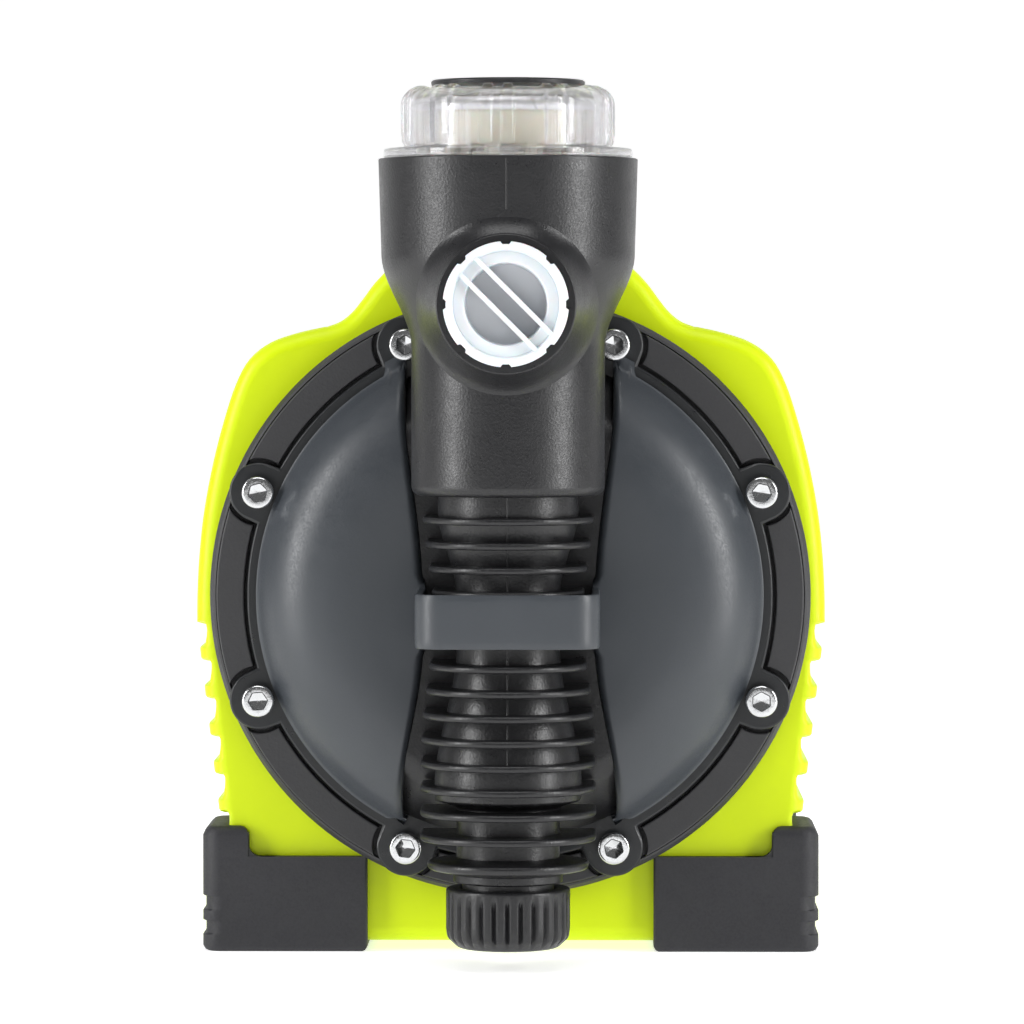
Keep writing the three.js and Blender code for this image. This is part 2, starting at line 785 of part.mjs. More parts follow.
function outletNeck() {
  const bottom = shaftZ + drumRadius - outletSocketDepth / 2 + seatGap;
  const rimLow = outletTop - outletRimHeight;
  const points = [
    [portBore - towerWall, bottom], [outletPipeRadius, bottom], [outletPipeRadius, rimLow],
    [portCollarRadius, rimLow], [portCollarRadius, outletTop], [portBore, outletTop],
    [portBore, outletTop - plugSpigot - 2], [portBore - towerWall, outletTop - plugSpigot - 2],
    [portBore - towerWall, bottom],
  ];
  return turnedZ(points, 0, outletY);
}

// ---- Drain cap -----------------------------------------------------------------------
function drainCap() {
  const points = [];
  for (let i = 0; i < drainFluteCount * 2; i += 1) {
    const radius = drainCapRadius - (i % 2) * drainFluteDepth;
    const angle = (i * Math.PI) / drainFluteCount;
    points.push([radius * Math.cos(angle), towerY + radius * Math.sin(angle)]);
  }
  const body = prismZ(polygon(points), drainCapBottom, drainCapTop);
  const well = rodZ(
    drainNeckRadius + threadClearance, drainCapBottom + drainCapFloor, drainCapTop + 1, 0, towerY);
  return cut(body, well);
}

// ---- Non-return valve ----------------------------------------------------------------
const valveDiscTop = towerBottom - seatGap;
const guideBottom = valveChamberBottom + seatGap;
const springBottom = guideBottom + valveGuideThickness + seatGap;
const springTop = valveDiscTop - valveDiscThickness - seatGap;

function valvePoppet() {
  const under = valveDiscTop - valveDiscThickness;
  const points = [[0, valveChamberBottom - 4], [valveStemRadius, valveChamberBottom - 4]];
  points.push([valveStemRadius, under], [valveDiscRadius, under], [valveDiscRadius, valveDiscTop]);
  points.push([0, valveDiscTop]);
  return turnedZ(points, 0, towerY, littleRound);
}

function valveGuide() {
  const outer = valveChamberRadius - seatGap;
  const top = guideBottom + valveGuideThickness;
  const rim = ringZ(outer - valveGuideRim, outer, guideBottom, top, 0, towerY, littleRound);
  const hub = rodZ(valveGuideHub, guideBottom, top, 0, towerY, smallRound);
  const arm = valveGuideArm / 2;
  const reach = outer - valveGuideRim / 2;
  const cross = join(
    box(-reach, reach, towerY - arm, towerY + arm, guideBottom, top),
    box(-arm, arm, towerY - reach, towerY + reach, guideBottom, top),
  );
  const bore = rodZ(valveStemRadius + valveStemClearance, guideBottom - 1, top + 1, 0, towerY, smallRound);
  return cut(join(rim, hub, cross), bore);
}

class Helix extends THREE.Curve {
  getPoint(t, target = new THREE.Vector3()) {
    const angle = t * springTurns * 2 * Math.PI;
    const low = springBottom + springWire;
    const high = springTop - springWire;
    const x = springRadius * Math.cos(angle);
    const y = towerY + springRadius * Math.sin(angle);
    return target.set(x, y, low + (high - low) * t);
  }
}

function valveSpring() {
  const section = new THREE.Shape();
  section.absarc(0, 0, springWire, 0, 2 * Math.PI);
  const options = { steps: springTurns * 8, curveSegments: 3, extrudePath: new Helix() };
  return solid(new THREE.ExtrudeGeometry(section, options));
}

// ---- Hydraulic parts -----------------------------------------------------------------
// A blade of constant thickness that sweeps round as it runs outwards.
function bladeShape(inner, outer, thickness, sweep, start) {
  const steps = 6;
  const outside = [];
  const inside = [];
  for (let i = 0; i <= steps; i += 1) {
    const t = i / steps;
    const radius = inner + (outer - inner) * t;
    const angle = start + THREE.MathUtils.degToRad(sweep) * t;
    const half = thickness / 2 / radius;
    outside.push([radius * Math.cos(angle + half), shaftZ + radius * Math.sin(angle + half)]);
    inside.push([radius * Math.cos(angle - half), shaftZ + radius * Math.sin(angle - half)]);
  }
  return polygon([...inside, ...outside.reverse()]);
}

function blades(count, inner, outer, thickness, sweep, from, to) {
  return aroundShaft(count, 1).map(([, , angle]) =>
    prismY(bladeShape(inner, outer, thickness, sweep, angle), from, to));
}

const impellerBack = impellerFront + impellerDepth;

function impeller() {
  const hub = rodY(impellerHub, impellerFront + shroudThickness, impellerBack, 0, shaftZ, littleRound);
  const back = rodY(impellerRadius, impellerBack - shroudThickness, impellerBack, 0, shaftZ, wideRound);
  const front = ringY(
    impellerEye, impellerRadius, impellerFront, impellerFront + shroudThickness, 0, shaftZ, wideRound);
  const vanes = blades(
    vaneCount, impellerHub - 1, impellerRadius - 1, vaneThickness, vaneSweep,
    impellerFront + 1, impellerBack - 1);
  const eye = rodY(impellerEye, impellerFront - 1, impellerFront + shroudThickness, 0, shaftZ, littleRound);
  const bore = rodY(shaftNoseRadius + seatGap, impellerFront - 1, impellerBack + 1, 0, shaftZ, littleRound);
  return cut(join(hub, back, front, ...vanes), eye, bore);
}

const nutBack = impellerFront + shroudThickness - seatGap;

function impellerNut() {
  const nut = prismY(hexagon(nutWidth, 0, shaftZ), nutBack - nutDepth, nutBack);
  const bore = rodY(
    shaftNoseRadius + seatGap, nutBack - nutDepth - 1, nutBack + 1, 0, shaftZ, littleRound);
  return cut(nut, bore);
}

function diffuser() {
  const back = diffuserFront + diffuserDepth;
  const plate = rodY(diffuserRadius, back - 3, back, 0, shaftZ, wideRound);
  const tubeFront = -dishDepth + dishWall + seatGap;
  const tube = rodY(diffuserTubeRadius, tubeFront, back, 0, shaftZ, littleRound);
  const vanes = blades(
    guideVaneCount, diffuserTubeRadius - 1, diffuserRadius - 6, guideVaneThickness, 40,
    back - 3 - guideVaneDepth, back - 2);
  const bore = rodY(columnBore, tubeFront - 1, back + 1, 0, shaftZ, littleRound);
  return cut(join(plate, tube, ...vanes), bore);
}

// ---- Shaft line ----------------------------------------------------------------------
const sealHeadFront = impellerBack + seatGap;
const shieldFront = drumDepth + seatGap;
const frontBearing = shieldFront + shieldPlate + seatGap;
const frameRear = frameStart + frameLength;
const rearShieldBack = frameRear + seatGap + shieldHubDepth + 4;
const rearBearing = rearShieldBack - shieldPlate - seatGap - bearingWidth;
const statorFront = frameStart + (frameLength - statorLength) / 2;

function shaft() {
  const shoulder = frontBearing + bearingWidth + 1;
  const rearShoulder = rearBearing - 1;
  const points = [
    [0, shaftFront], [shaftNoseRadius, shaftFront], [shaftNoseRadius, sealHeadFront + sealHeadDepth],
    [bearingInner - seatGap, sealHeadFront + sealHeadDepth], [bearingInner - seatGap, shoulder],
    [rotorShaftRadius, shoulder], [rotorShaftRadius, rearShoulder],
    [bearingInner - seatGap, rearShoulder], [bearingInner - seatGap, shaftRear], [0, shaftRear],
  ];
  return turnedY(points, 0, shaftZ, littleRound);
}

// A bearing shield: a plate with a hub that holds the bearing, and a ring for the frame.
// direction is 1 for the front end, where the hub points to the rear, and -1 for the rear end.
function endShield(plateSide, direction) {
  const at = (depth) => plateSide + direction * depth;
  const span = (a, b) => [Math.min(at(a), at(b)), Math.max(at(a), at(b))];
  const plate = rodY(frameRadius, ...span(0, shieldPlate), 0, shaftZ, wideRound);
  const hub = rodY(shieldHub, ...span(0, shieldHubDepth), 0, shaftZ, littleRound);
  const edge = Math.abs((direction > 0 ? frameStart : frameRear) - plateSide) - seatGap;
  const rim = ringY(
    frameRadius - frameWall, frameRadius, ...span(shieldPlate - 1, edge), 0, shaftZ, wideRound);
  const pocket = rodY(
    bearingOuter + seatGap, ...span(shieldPlate, shieldHubDepth + 1), 0, shaftZ, littleRound);
  const passage = rodY(shaftRadius + runGap, ...span(-1, shieldPlate + 1), 0, shaftZ, smallRound);
  return cut(join(plate, hub, rim), pocket, passage);
}

const bearing = (from) =>
  ringY(bearingInner, bearingOuter, from, from + bearingWidth, 0, shaftZ, littleRound);

function motorFrame() {
  const tube = ringY(frameRadius - frameWall, frameRadius, frameStart, frameRear, 0, shaftZ, wideRound);
  const ribs = aroundShaft(frameFinCount, 1).map(([, , angle]) => {
    const geometry = new THREE.BoxGeometry(frameFinHeight + 1, frameLength, 2);
    geometry.translate(frameRadius + (frameFinHeight - 1) / 2, frameStart + frameLength / 2, 0);
    geometry.rotateY(-angle);
    geometry.translate(0, 0, shaftZ);
    return solid(geometry);
  });
  return join(tube, ...ribs);
}

const stator = () => ringY(
  statorInner, frameRadius - frameWall - seatGap, statorFront, statorFront + statorLength,
  0, shaftZ, wideRound);
const winding = (from) =>
  ringY(windingInner, windingOuter, from, from + windingDepth, 0, shaftZ, wideRound);
const rotorCore = () => ringY(
  rotorShaftRadius + seatGap, statorInner - airGap, statorFront, statorFront + statorLength,
  0, shaftZ, wideRound);

const fanBack = shaftRear - fanRearRoom;

function motorFan() {
  const front = fanBack - fanDepth;
  const hub = rodY(fanHub, front, fanBack, 0, shaftZ, littleRound);
  const disc = rodY(fanRadius, fanBack - fanDisc, fanBack, 0, shaftZ, wideRound);
  const vanes = blades(fanBladeCount, fanHub - 1, fanRadius - 2, fanDisc, 12, front, fanBack - 1);
  const bore = rodY(bearingInner, front - 1, fanBack + 1, 0, shaftZ, littleRound);
  return cut(join(hub, disc, ...vanes), bore);
}

// ---- Capacitor and its clip ----------------------------------------------------------
const capacitor = () => rodY(
  capacitorRadius, capacitorFront, capacitorFront + capacitorLength, capacitorX, capacitorZ, littleRound);

function capacitorClip() {
  const inner = capacitorRadius + seatGap;
  const outer = inner + clipThickness;
  const from = capacitorFront + (capacitorLength - clipWidth) / 2;
  const floor = groundGap + housingWall + seatGap;
  const loop = rodY(outer, from, from + clipWidth, capacitorX, capacitorZ, littleRound);
  const post = box(capacitorX - 6, capacitorX + 6, from, from + clipWidth, floor, capacitorZ - inner + 1);
  const base = box(
    capacitorX - inner, capacitorX + inner * 0.6, from, from + clipWidth, floor, floor + clipThickness);
  const room = rodY(inner, from - 1, from + clipWidth + 1, capacitorX, capacitorZ, littleRound);
  const mouth = box(capacitorX - inner * 0.6, capacitorX + inner * 0.6, from - 1, from + clipWidth + 1,
    capacitorZ, capacitorZ + outer + 1);
  return cut(join(loop, post, base), room, mouth);
}

// ---- Housing outline -----------------------------------------------------------------
const housingRear = housingFront + housingLength;

// Half outline from the top middle down one side, as [x, z], drawn in by `inset`.
function housingSide(inset, toothed) {
  const side = [];
  const bulge = new THREE.CubicBezierCurve(
    new THREE.Vector2(housingTopHalfWidth, housingTop - inset),
    new THREE.Vector2(housingFootHalfWidth - inset, housingTop - 2.5 - inset),
    new THREE.Vector2(housingHalfWidth - 2 - inset, (housingTop + housingWaistZ) / 2),
    new THREE.Vector2(housingHalfWidth - inset, housingWaistZ),
  );
  bulge.getPoints(8).forEach((p) => side.push([p.x, p.y]));
  const bottom = groundGap + inset;
  const louvreEnd = housingWaistZ - louvreCount * louvrePitch;
  const lean = (z) => {
    const t = (housingWaistZ - z) / (housingWaistZ - louvreEnd);
    return housingHalfWidth - inset + (housingFootHalfWidth - housingHalfWidth) * t;
  };
  if (toothed) {
    for (let i = 0; i < louvreCount; i += 1) {
      const top = housingWaistZ - i * louvrePitch;
      side.push([lean(top) - louvreDepth, top - 1.5]);
      side.push([lean(top - louvrePitch / 2) - 0.6, top - louvrePitch * 0.5]);
      side.push([lean(top - louvrePitch) , top - louvrePitch + 1.6]);
    }
  } else {
    side.push([lean(housingWaistZ) - louvreDepth, housingWaistZ - 1.5]);
    side.push([lean(louvreEnd) - louvreDepth, louvreEnd]);
  }
  const foot = housingFootHalfWidth - inset - (toothed ? 0 : louvreDepth);
  side.push([foot, bottom + housingFootCorner]);
  side.push([foot - housingFootCorner * 0.3, bottom + housingFootCorner * 0.3]);
  side.push([foot - housingFootCorner, bottom]);
  return side;
}

function mirroredShape(side) {
  const other = side.map(([x, z]) => [-x, z]).reverse();
  return polygon([...side, ...other]);
}

const housingShape = (inset, toothed = false) => mirroredShape(housingSide(inset, toothed));

// The raised front of the housing, which the outlet neck comes up through.
function humpShape(inset) {
  const base = housingTop - housingWall * 2;
  const foot = housingTopHalfWidth + 3;
  const curve = new THREE.QuadraticBezierCurve(
    new THREE.Vector2(foot - inset * 1.4, housingTop - 0.4),
    new THREE.Vector2(housingTopHalfWidth - 5 - inset, housingTop + 2),
    new THREE.Vector2(humpShoulderX - inset, humpShoulderZ - inset * 0.6),
  );
  const side = curve.getPoints(4).map((p) => [p.x, p.y]);
  side.push([humpTopHalfWidth - inset * 0.5, humpTop - inset]);
  return mirroredShape([[foot - inset * 1.4, base], ...side].reverse());
}

function louvreSlots() {
  const slots = [];
  const bankRun = louvreSlotLength + louvreSlotGap;
  const start = (housingFront + housingRear - louvreSlotBanks * bankRun + louvreSlotGap) / 2;
  for (let i = 0; i < louvreCount; i += 1) {
    const top = housingWaistZ - i * louvrePitch;
    for (let bank = 0; bank < louvreSlotBanks; bank += 1) {
      const y = start + bank * bankRun;
      for (const side of [-1, 1]) {
        const [x0, x1] = [side * (housingFootHalfWidth - 12), side * (housingHalfWidth + 2)];
        const low = top - louvreSlotHeight - 0.6;
        const [left, right] = [Math.min(x0, x1), Math.max(x0, x1)];
        slots.push(box(left, right, y, y + louvreSlotLength, low, low + louvreSlotHeight));
      }
    }
  }
  return slots;
}

function housing() {
  const hump = prismY(humpShape(0), housingFront, housingFront + humpLength);
  const outside = join(prismY(housingShape(0, true), housingFront, housingRear), hump);
  const front = housingFront + housingWall;
  const room = prismY(housingShape(housingWall), front, housingRear + 1);
  const humpRoom = prismY(humpShape(housingWall), front, housingFront + humpLength - housingWall);
  const bossTop = shaftZ + drumRadius + outletSocketDepth / 2;
  const footHoles = footPlaces.map(([x, y]) =>
    rodZ(footScrewRadius + seatGap, -1, groundGap + housingWall + 1, x, y, smallRound));
  return cut(
    outside,
    room,
    humpRoom,
    rodY(drumRadius + seatGap, housingFront - 1, front + 1, 0, shaftZ, bigRound),
    rodZ(outletBossRadius + seatGap, shaftZ, bossTop + seatGap, 0, outletY),
    rodZ(outletPipeRadius + seatGap, shaftZ, humpTop + 1, 0, outletY),
    ...footHoles,
    ...louvreSlots(),
  );
}

// ---- Rear cover ----------------------------------------------------------------------
const rearCoverFront = housingRear + seatGap;
const rearCoverBack = rearCoverFront + rearCoverDepth;

function rearCover() {
  const half = rearCoverDepth / 2;
  const outside = join(
    prismY(housingShape(seatGap), rearCoverFront, rearCoverFront + half),
    prismY(housingShape(rearCoverInset), rearCoverFront, rearCoverBack),
  );
  const room = prismY(
    housingShape(rearCoverInset + housingWall), rearCoverFront - 1, rearCoverBack - housingWall);
  const slots = [];
  for (let i = 0; i < grilleSlotCount; i += 1) {
    const z = shaftZ + (i - (grilleSlotCount - 1) / 2) * grilleSlotPitch - grilleSlotHeight / 2;
    const reach = Math.sqrt(grilleHalfWidth ** 2 - (z + grilleSlotHeight / 2 - shaftZ) ** 2);
    const front = rearCoverBack - housingWall - 1;
    slots.push(box(-reach, reach, front, rearCoverBack + 1, z, z + grilleSlotHeight));
  }
  const switchHole = box(
    -switchHalfWidth - seatGap, switchHalfWidth + seatGap, rearCoverBack - housingWall - 1,
    rearCoverBack + 1, switchZ - switchHalfHeight - seatGap, switchZ + switchHalfHeight + seatGap);
  const glandHole = rodY(
    glandBodyRadius - 2 + seatGap, rearCoverBack - housingWall - 1, rearCoverBack + 1,
    glandX, glandZ, littleRound);
  const screwHoles = rearScrewPlaces.map(([x, z]) =>
    rodY(footScrewRadius + seatGap, rearCoverFront - 1, rearCoverBack + 1, x, z, smallRound));
  return cut(outside, room, ...slots, switchHole, glandHole, ...screwHoles);
}

const rearScrewPlaces = [[-coverScrewX, coverScrewZ], [coverScrewX, coverScrewZ]];

function rearScrew(x, z) {
  const face = rearCoverBack + seatGap;
  const points = [
    [0, face - rearCoverDepth], [footScrewRadius, face - rearCoverDepth], [footScrewRadius, face],
    [footScrewHead, face], [footScrewHead - 0.6, face + footScrewHeadHeight],
    [0, face + footScrewHeadHeight],
  ];
  return turnedY(points, x, z, smallRound);
}

// ---- Switch --------------------------------------------------------------------------
function switchFrame() {
  const inner = [switchHalfWidth - switchBezel, switchHalfHeight - switchBezel];
  const body = box(
    -switchHalfWidth, switchHalfWidth, rearCoverBack - switchBodyDepth, rearCoverBack + 1,
    switchZ - switchHalfHeight, switchZ + switchHalfHeight);
  const lip = box(
    -switchHalfWidth - switchBezel, switchHalfWidth + switchBezel, rearCoverBack + seatGap,
    rearCoverBack + switchBezelProud, switchZ - switchHalfHeight - switchBezel,
    switchZ + switchHalfHeight + switchBezel);
  const well = box(
    -inner[0], inner[0], rearCoverBack - switchBodyDepth + 2, rearCoverBack + switchBezelProud + 1,
    switchZ - inner[1], switchZ + inner[1]);
  return cut(join(body, lip), well);
}


// Side view of the rocker: a shallow V whose upper half stands proud at rest.
function switchRocker() {
  const half = switchHalfHeight - switchBezel - runGap;
  const lift = half * Math.tan(THREE.MathUtils.degToRad(rockerAngle));
  const face = rearCoverBack + 0.5;
  const back = face - rockerThickness;
  const shape = polygon([
    [back, switchZ - half + 1], [face, switchZ - half], [face, switchZ],
    [face + lift, switchZ + half], [back, switchZ + half - 1],
  ]);
  const width = switchHalfWidth - switchBezel - runGap;
  return prismX(shape, -width, width);
}

// ---- Cable gland (its lead is not part of the model) ----------------------------------
function cableGland() {
  const face = rearCoverBack + seatGap;
  const tail = rearCoverBack - housingWall - 8;
  const end = rearCoverBack + glandReach;
  const points = [
    [glandBore, tail], [glandBodyRadius - 2, tail], [glandBodyRadius - 2, face],
    [glandBodyRadius, face], [glandBodyRadius, face + 5], [glandNutRadius, face + 5.5],
    [glandNutRadius, end - 4], [glandBore + 2, end], [glandBore, end], [glandBore, tail],
  ];
  return turnedY(points, glandX, glandZ, littleRound);
}

// ---- Handle --------------------------------------------------------------------------
const handleRear = handleFront + handleLength;
const handleFoot = housingTop + seatGap;

function carryHandle() {
  const low = handleTop - handleBar;
  const outer = new THREE.Shape();
  outer.moveTo(handleFront, handleFoot);
  outer.lineTo(handleRear, handleFoot);
  outer.lineTo(handleRear, handleTop - handleRadius);
  outer.absarc(handleRear - handleRadius, handleTop - handleRadius, handleRadius, 0, Math.PI / 2);
  outer.lineTo(handleFront + handleRadius, handleTop);
  outer.absarc(handleFront + handleRadius, handleTop - handleRadius, handleRadius, Math.PI / 2, Math.PI);
  const y0 = handleFront + handlePost;
  const y1 = handleRear - handlePost;
  const gap = roundedRectangle(y0, y1, handleFoot - handleRadius * 2, low, handleRadius * 0.7);
  const bar = prismX(outer, -handleHalfWidth, handleHalfWidth, 4);
  return cut(bar, prismX(gap, -handleHalfWidth - 1, handleHalfWidth + 1, 4));
}

// ---- Feet ----------------------------------------------------------------------------
const footFront = housingFront - footFrontPlate - seatGap;
const rearFootFront = housingRear - footLength;
const footPlaces = [
  [-footScrewX, footFront + footLength / 2], [footScrewX, footFront + footLength / 2],
  [-footScrewX, rearFootFront + footLength / 2], [footScrewX, rearFootFront + footLength / 2],
];

// A shoe round the bottom corner of the housing; side is -1 or 1.
function foot(side, from, screwPlace) {
  const shape = new THREE.Shape();
  shape.moveTo(side * footInner, 0);
  shape.lineTo(side * (footOuter - 1.5), 0);
  shape.lineTo(side * footOuter, 1.5);
  shape.lineTo(side * footOuter, footUpstand - footCorner);
  shape.lineTo(side * (footOuter - footCorner * 0.3), footUpstand - footCorner * 0.3);
  shape.lineTo(side * (footOuter - footCorner), footUpstand);
  shape.lineTo(side * (footUpstandInner + footCorner), footUpstand);
  shape.lineTo(side * footUpstandInner, footHeight);
  shape.lineTo(side * footInner, footHeight);
  const block = prismY(shape, from, from + footLength);
  const housingRoom = prismY(housingShape(-seatGap, true), housingFront - seatGap, housingRear + 1);
  const [x, y] = screwPlace;
  const pad = footPadHeight + seatGap;
  return cut(
    block,
    housingRoom,
    rodZ(footScrewRadius + seatGap, -1, footHeight, x, y, smallRound),
    box(x - footPadReachX, x + footPadReachX, y - footPadReachY, y + footPadReachY, -1, pad),
  );
}

const footPadReachX = 8;
const footPadReachY = 8;

function footScrew(x, y) {
  const low = seatGap;
  const points = [
    [0, low], [footScrewHead, low], [footScrewHead, low + footScrewHeadHeight],
    [footScrewRadius, low + footScrewHeadHeight], [footScrewRadius, low + footScrewLength],
    [0, low + footScrewLength],
  ];
  return turnedZ(points, x, y, smallRound);
}

// ---- Assembly ------------------------------------------------------------------------
show('front_casing', frontCasing(), blackPlastic());
show('front_cover', frontCover(), greyPlastic());
boltPlaces.forEach(([x, z], i) => show(`cover_screw_${i + 1}`, socketScrew(x, z), steel()));
show('rear_casing', rearCasing(), ringPlastic());
show('casing_o_ring', casingORing(), rubber());
show('filter_lid', filterLid(), clearPlastic());
const lidDisc = rodZ(
  lidDiscRadius, lidDiscBottom, lidDiscBottom + lidDiscThickness, 0, towerY, wideRound);
const lidSeal = ringZ(
  skirtOuter - lidWall, skirtOuter, sealBottom, sealBottom + sealThickness, 0, towerY, wideRound);
show('lid_disc', lidDisc, blackPlastic());
show('lid_seal', lidSeal, rubber());
show('filter_insert', filterInsert(), creamPlastic());
show('inlet_plug', inletPlug(), whitePlastic());
const portFace = towerY - portReach;
const inletGasket = ringY(
  gasketInner, gasketOuter, portFace - seatGap - gasketThickness, portFace - seatGap, 0, portZ);
show('inlet_gasket', inletGasket, rubber());
show('drain_cap', drainCap(), blackPlastic());
const drainSealLow = drainCapBottom + drainCapFloor + seatGap;
const drainSeal = rodZ(
  drainNeckRadius - 0.2, drainSealLow, drainSealLow + sealThickness, 0, towerY);
show('drain_seal', drainSeal, rubber());
show('valve_poppet', valvePoppet(), whitePlastic());
show('valve_guide', valveGuide(), whitePlastic());
show('valve_spring', valveSpring(), steel());
show('impeller', impeller(), hydraulicPlastic());
show('impeller_nut', impellerNut(), steel());
show('diffuser', diffuser(), hydraulicPlastic());
const sealSeat = ringY(
  shaftRadius + runGap, sealHousingRadius - seatGap, drumDepth - drumWall + 1, drumDepth - seatGap,
  0, shaftZ);
show('seal_seat', sealSeat, whitePlastic());
const sealHead = ringY(
  shaftNoseRadius + seatGap, sealHeadRadius, sealHeadFront, sealHeadFront + sealHeadDepth, 0, shaftZ);
show('seal_head', sealHead, rubber());
show('shaft', shaft(), steel());
show('front_end_shield', endShield(shieldFront, 1), aluminium());
show('rear_end_shield', endShield(rearShieldBack, -1), aluminium());
show('front_bearing', bearing(frontBearing), steel());
show('rear_bearing', bearing(rearBearing), steel());
show('motor_frame', motorFrame(), aluminium());
show('stator_core', stator(), laminations());
show('winding_front', winding(statorFront - seatGap - windingDepth), copper());
show('winding_rear', winding(statorFront + statorLength + seatGap), copper());
show('rotor_core', rotorCore(), laminations());
show('motor_fan', motorFan(), hydraulicPlastic());
show('capacitor', capacitor(), whitePlastic());
show('capacitor_clip', capacitorClip(), hydraulicPlastic());
show('housing', housing(), greenPlastic());
show('rear_cover', rearCover(), footPlastic());
rearScrewPlaces.forEach(([x, z], i) => show(`rear_screw_${i + 1}`, rearScrew(x, z), steel()));
show('outlet_neck', outletNeck(), blackPlastic());
show('outlet_plug', outletPlug(), whitePlastic());
const outletGasket = ringZ(
  gasketInner, gasketOuter, outletTop + seatGap, outletTop + seatGap + gasketThickness, 0, outletY);
show('outlet_gasket', outletGasket, rubber());
show('carry_handle', carryHandle(), greenPlastic());
show('switch_frame', switchFrame(), footPlastic());
show('switch_rocker', switchRocker(), blackPlastic());
show('cable_gland', cableGland(), footPlastic());
show('foot_front_left', foot(-1, footFront, footPlaces[0]), footPlastic());
show('foot_front_right', foot(1, footFront, footPlaces[1]), footPlastic());
show('foot_rear_left', foot(-1, rearFootFront, footPlaces[2]), footPlastic());
show('foot_rear_right', foot(1, rearFootFront, footPlaces[3]), footPlastic());
footPlaces.forEach(([x, y], i) => show(`foot_screw_${i + 1}`, footScrew(x, y), steel()));

// Move the pump so that the origin is the middle of its length on the ground.
const frontmost = towerY - portReach - gasketThickness - 2 * seatGap - plugFlangeThickness;
const rearmost = rearCoverBack + glandReach;
parts.position.y = -(frontmost + rearmost) / 2;

export default pump;
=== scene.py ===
"""Self-priming garden pump with a clear-lidded filter tower, built round its CAD frame.

Lengths are millimetres in the row frame until a mesh is made: +Z up, the shaft along Y, the suction side
to -Y.
"""
import json
import math

import bmesh
import bpy
import numpy as np
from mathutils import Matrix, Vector


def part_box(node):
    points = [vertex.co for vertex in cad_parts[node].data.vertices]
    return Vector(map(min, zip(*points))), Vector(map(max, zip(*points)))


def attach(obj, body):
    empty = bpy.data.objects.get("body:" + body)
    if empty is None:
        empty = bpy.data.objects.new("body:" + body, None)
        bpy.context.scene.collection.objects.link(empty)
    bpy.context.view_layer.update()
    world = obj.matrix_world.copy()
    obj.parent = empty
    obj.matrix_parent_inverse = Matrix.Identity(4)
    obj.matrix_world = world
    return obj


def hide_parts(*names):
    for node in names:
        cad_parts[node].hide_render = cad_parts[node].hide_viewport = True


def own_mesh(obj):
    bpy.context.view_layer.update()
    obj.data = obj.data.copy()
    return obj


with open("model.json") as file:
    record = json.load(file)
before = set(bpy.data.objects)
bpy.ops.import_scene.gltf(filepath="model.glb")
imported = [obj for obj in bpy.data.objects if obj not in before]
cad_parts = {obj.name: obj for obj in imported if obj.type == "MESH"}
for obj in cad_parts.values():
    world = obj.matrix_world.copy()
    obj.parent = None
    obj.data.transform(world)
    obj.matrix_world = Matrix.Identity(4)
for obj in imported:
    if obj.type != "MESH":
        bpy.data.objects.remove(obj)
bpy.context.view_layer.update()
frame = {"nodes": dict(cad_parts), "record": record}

MM = 0.001
TAU = 2 * math.pi


def node_box(name):
    """Lowest and highest corner of a CAD node, in millimetres."""
    low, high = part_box(name)
    return np.array(low) / MM, np.array(high) / MM


# ---- Lines of the pump, from the CAD nodes ---------------------------------------------
cap_low, cap_high = node_box("drain_cap")
ring_low, _ = node_box("rear_casing")
cover_low, _ = node_box("front_cover")
casing_low, casing_high = node_box("front_casing")
lid_low, lid_high = node_box("filter_lid")
disc_low, disc_high = node_box("lid_disc")
house_low, house_high = node_box("housing")
tower_y = (cap_low[1] + cap_high[1]) / 2
pad_height = 4
flange_y = ring_low[1] + pad_height
shaft_z = 112.5
port_z = (node_box("inlet_plug")[0][2] + node_box("inlet_plug")[1][2]) / 2
outlet_y = (node_box("outlet_plug")[0][1] + node_box("outlet_plug")[1][1]) / 2
tower_top = casing_high[2]
house_front = flange_y + 10
house_rear = house_high[1]
bolt_circle = 84.7
bolt_angles = np.radians(22.5 + 45 * np.arange(8))

# ---- Surfaces --------------------------------------------------------------------------
def grid(points, round_u=False, round_v=False):
    """Quads between neighbouring points of a grid: (i, j), (i+1, j), (i+1, j+1), (i, j+1).

    round_u and round_v join the last row or column to the first."""
    rows, columns = points.shape[:2]
    index = np.arange(rows * columns).reshape(rows, columns)
    if round_u:
        index = np.vstack([index, index[:1]])
    if round_v:
        index = np.hstack([index, index[:, :1]])
    quads = np.stack([index[:-1, :-1], index[1:, :-1], index[1:, 1:], index[:-1, 1:]], -1)
    return points.reshape(-1, 3), [quads.reshape(-1, 4)]


def together(*surfaces):
    """Several surfaces as one, each one's numbering moved past the last."""
    starts = np.cumsum([0] + [len(points) for points, _ in surfaces])
    faces = [face + start for (_, some), start in zip(surfaces, starts) for face in some]
    return np.vstack([points for points, _ in surfaces]), faces


def moved(surface, x=0, y=0, z=0):
    """A surface carried by (x, y, z)."""
    return surface[0] + np.array([x, y, z]), surface[1]


def mirrored(surface):
    """The mirror image of a surface in x, its faces turned round so that they still face outwards."""
    return surface[0] * np.array([-1, 1, 1]), [face[:, ::-1] for face in surface[1]]


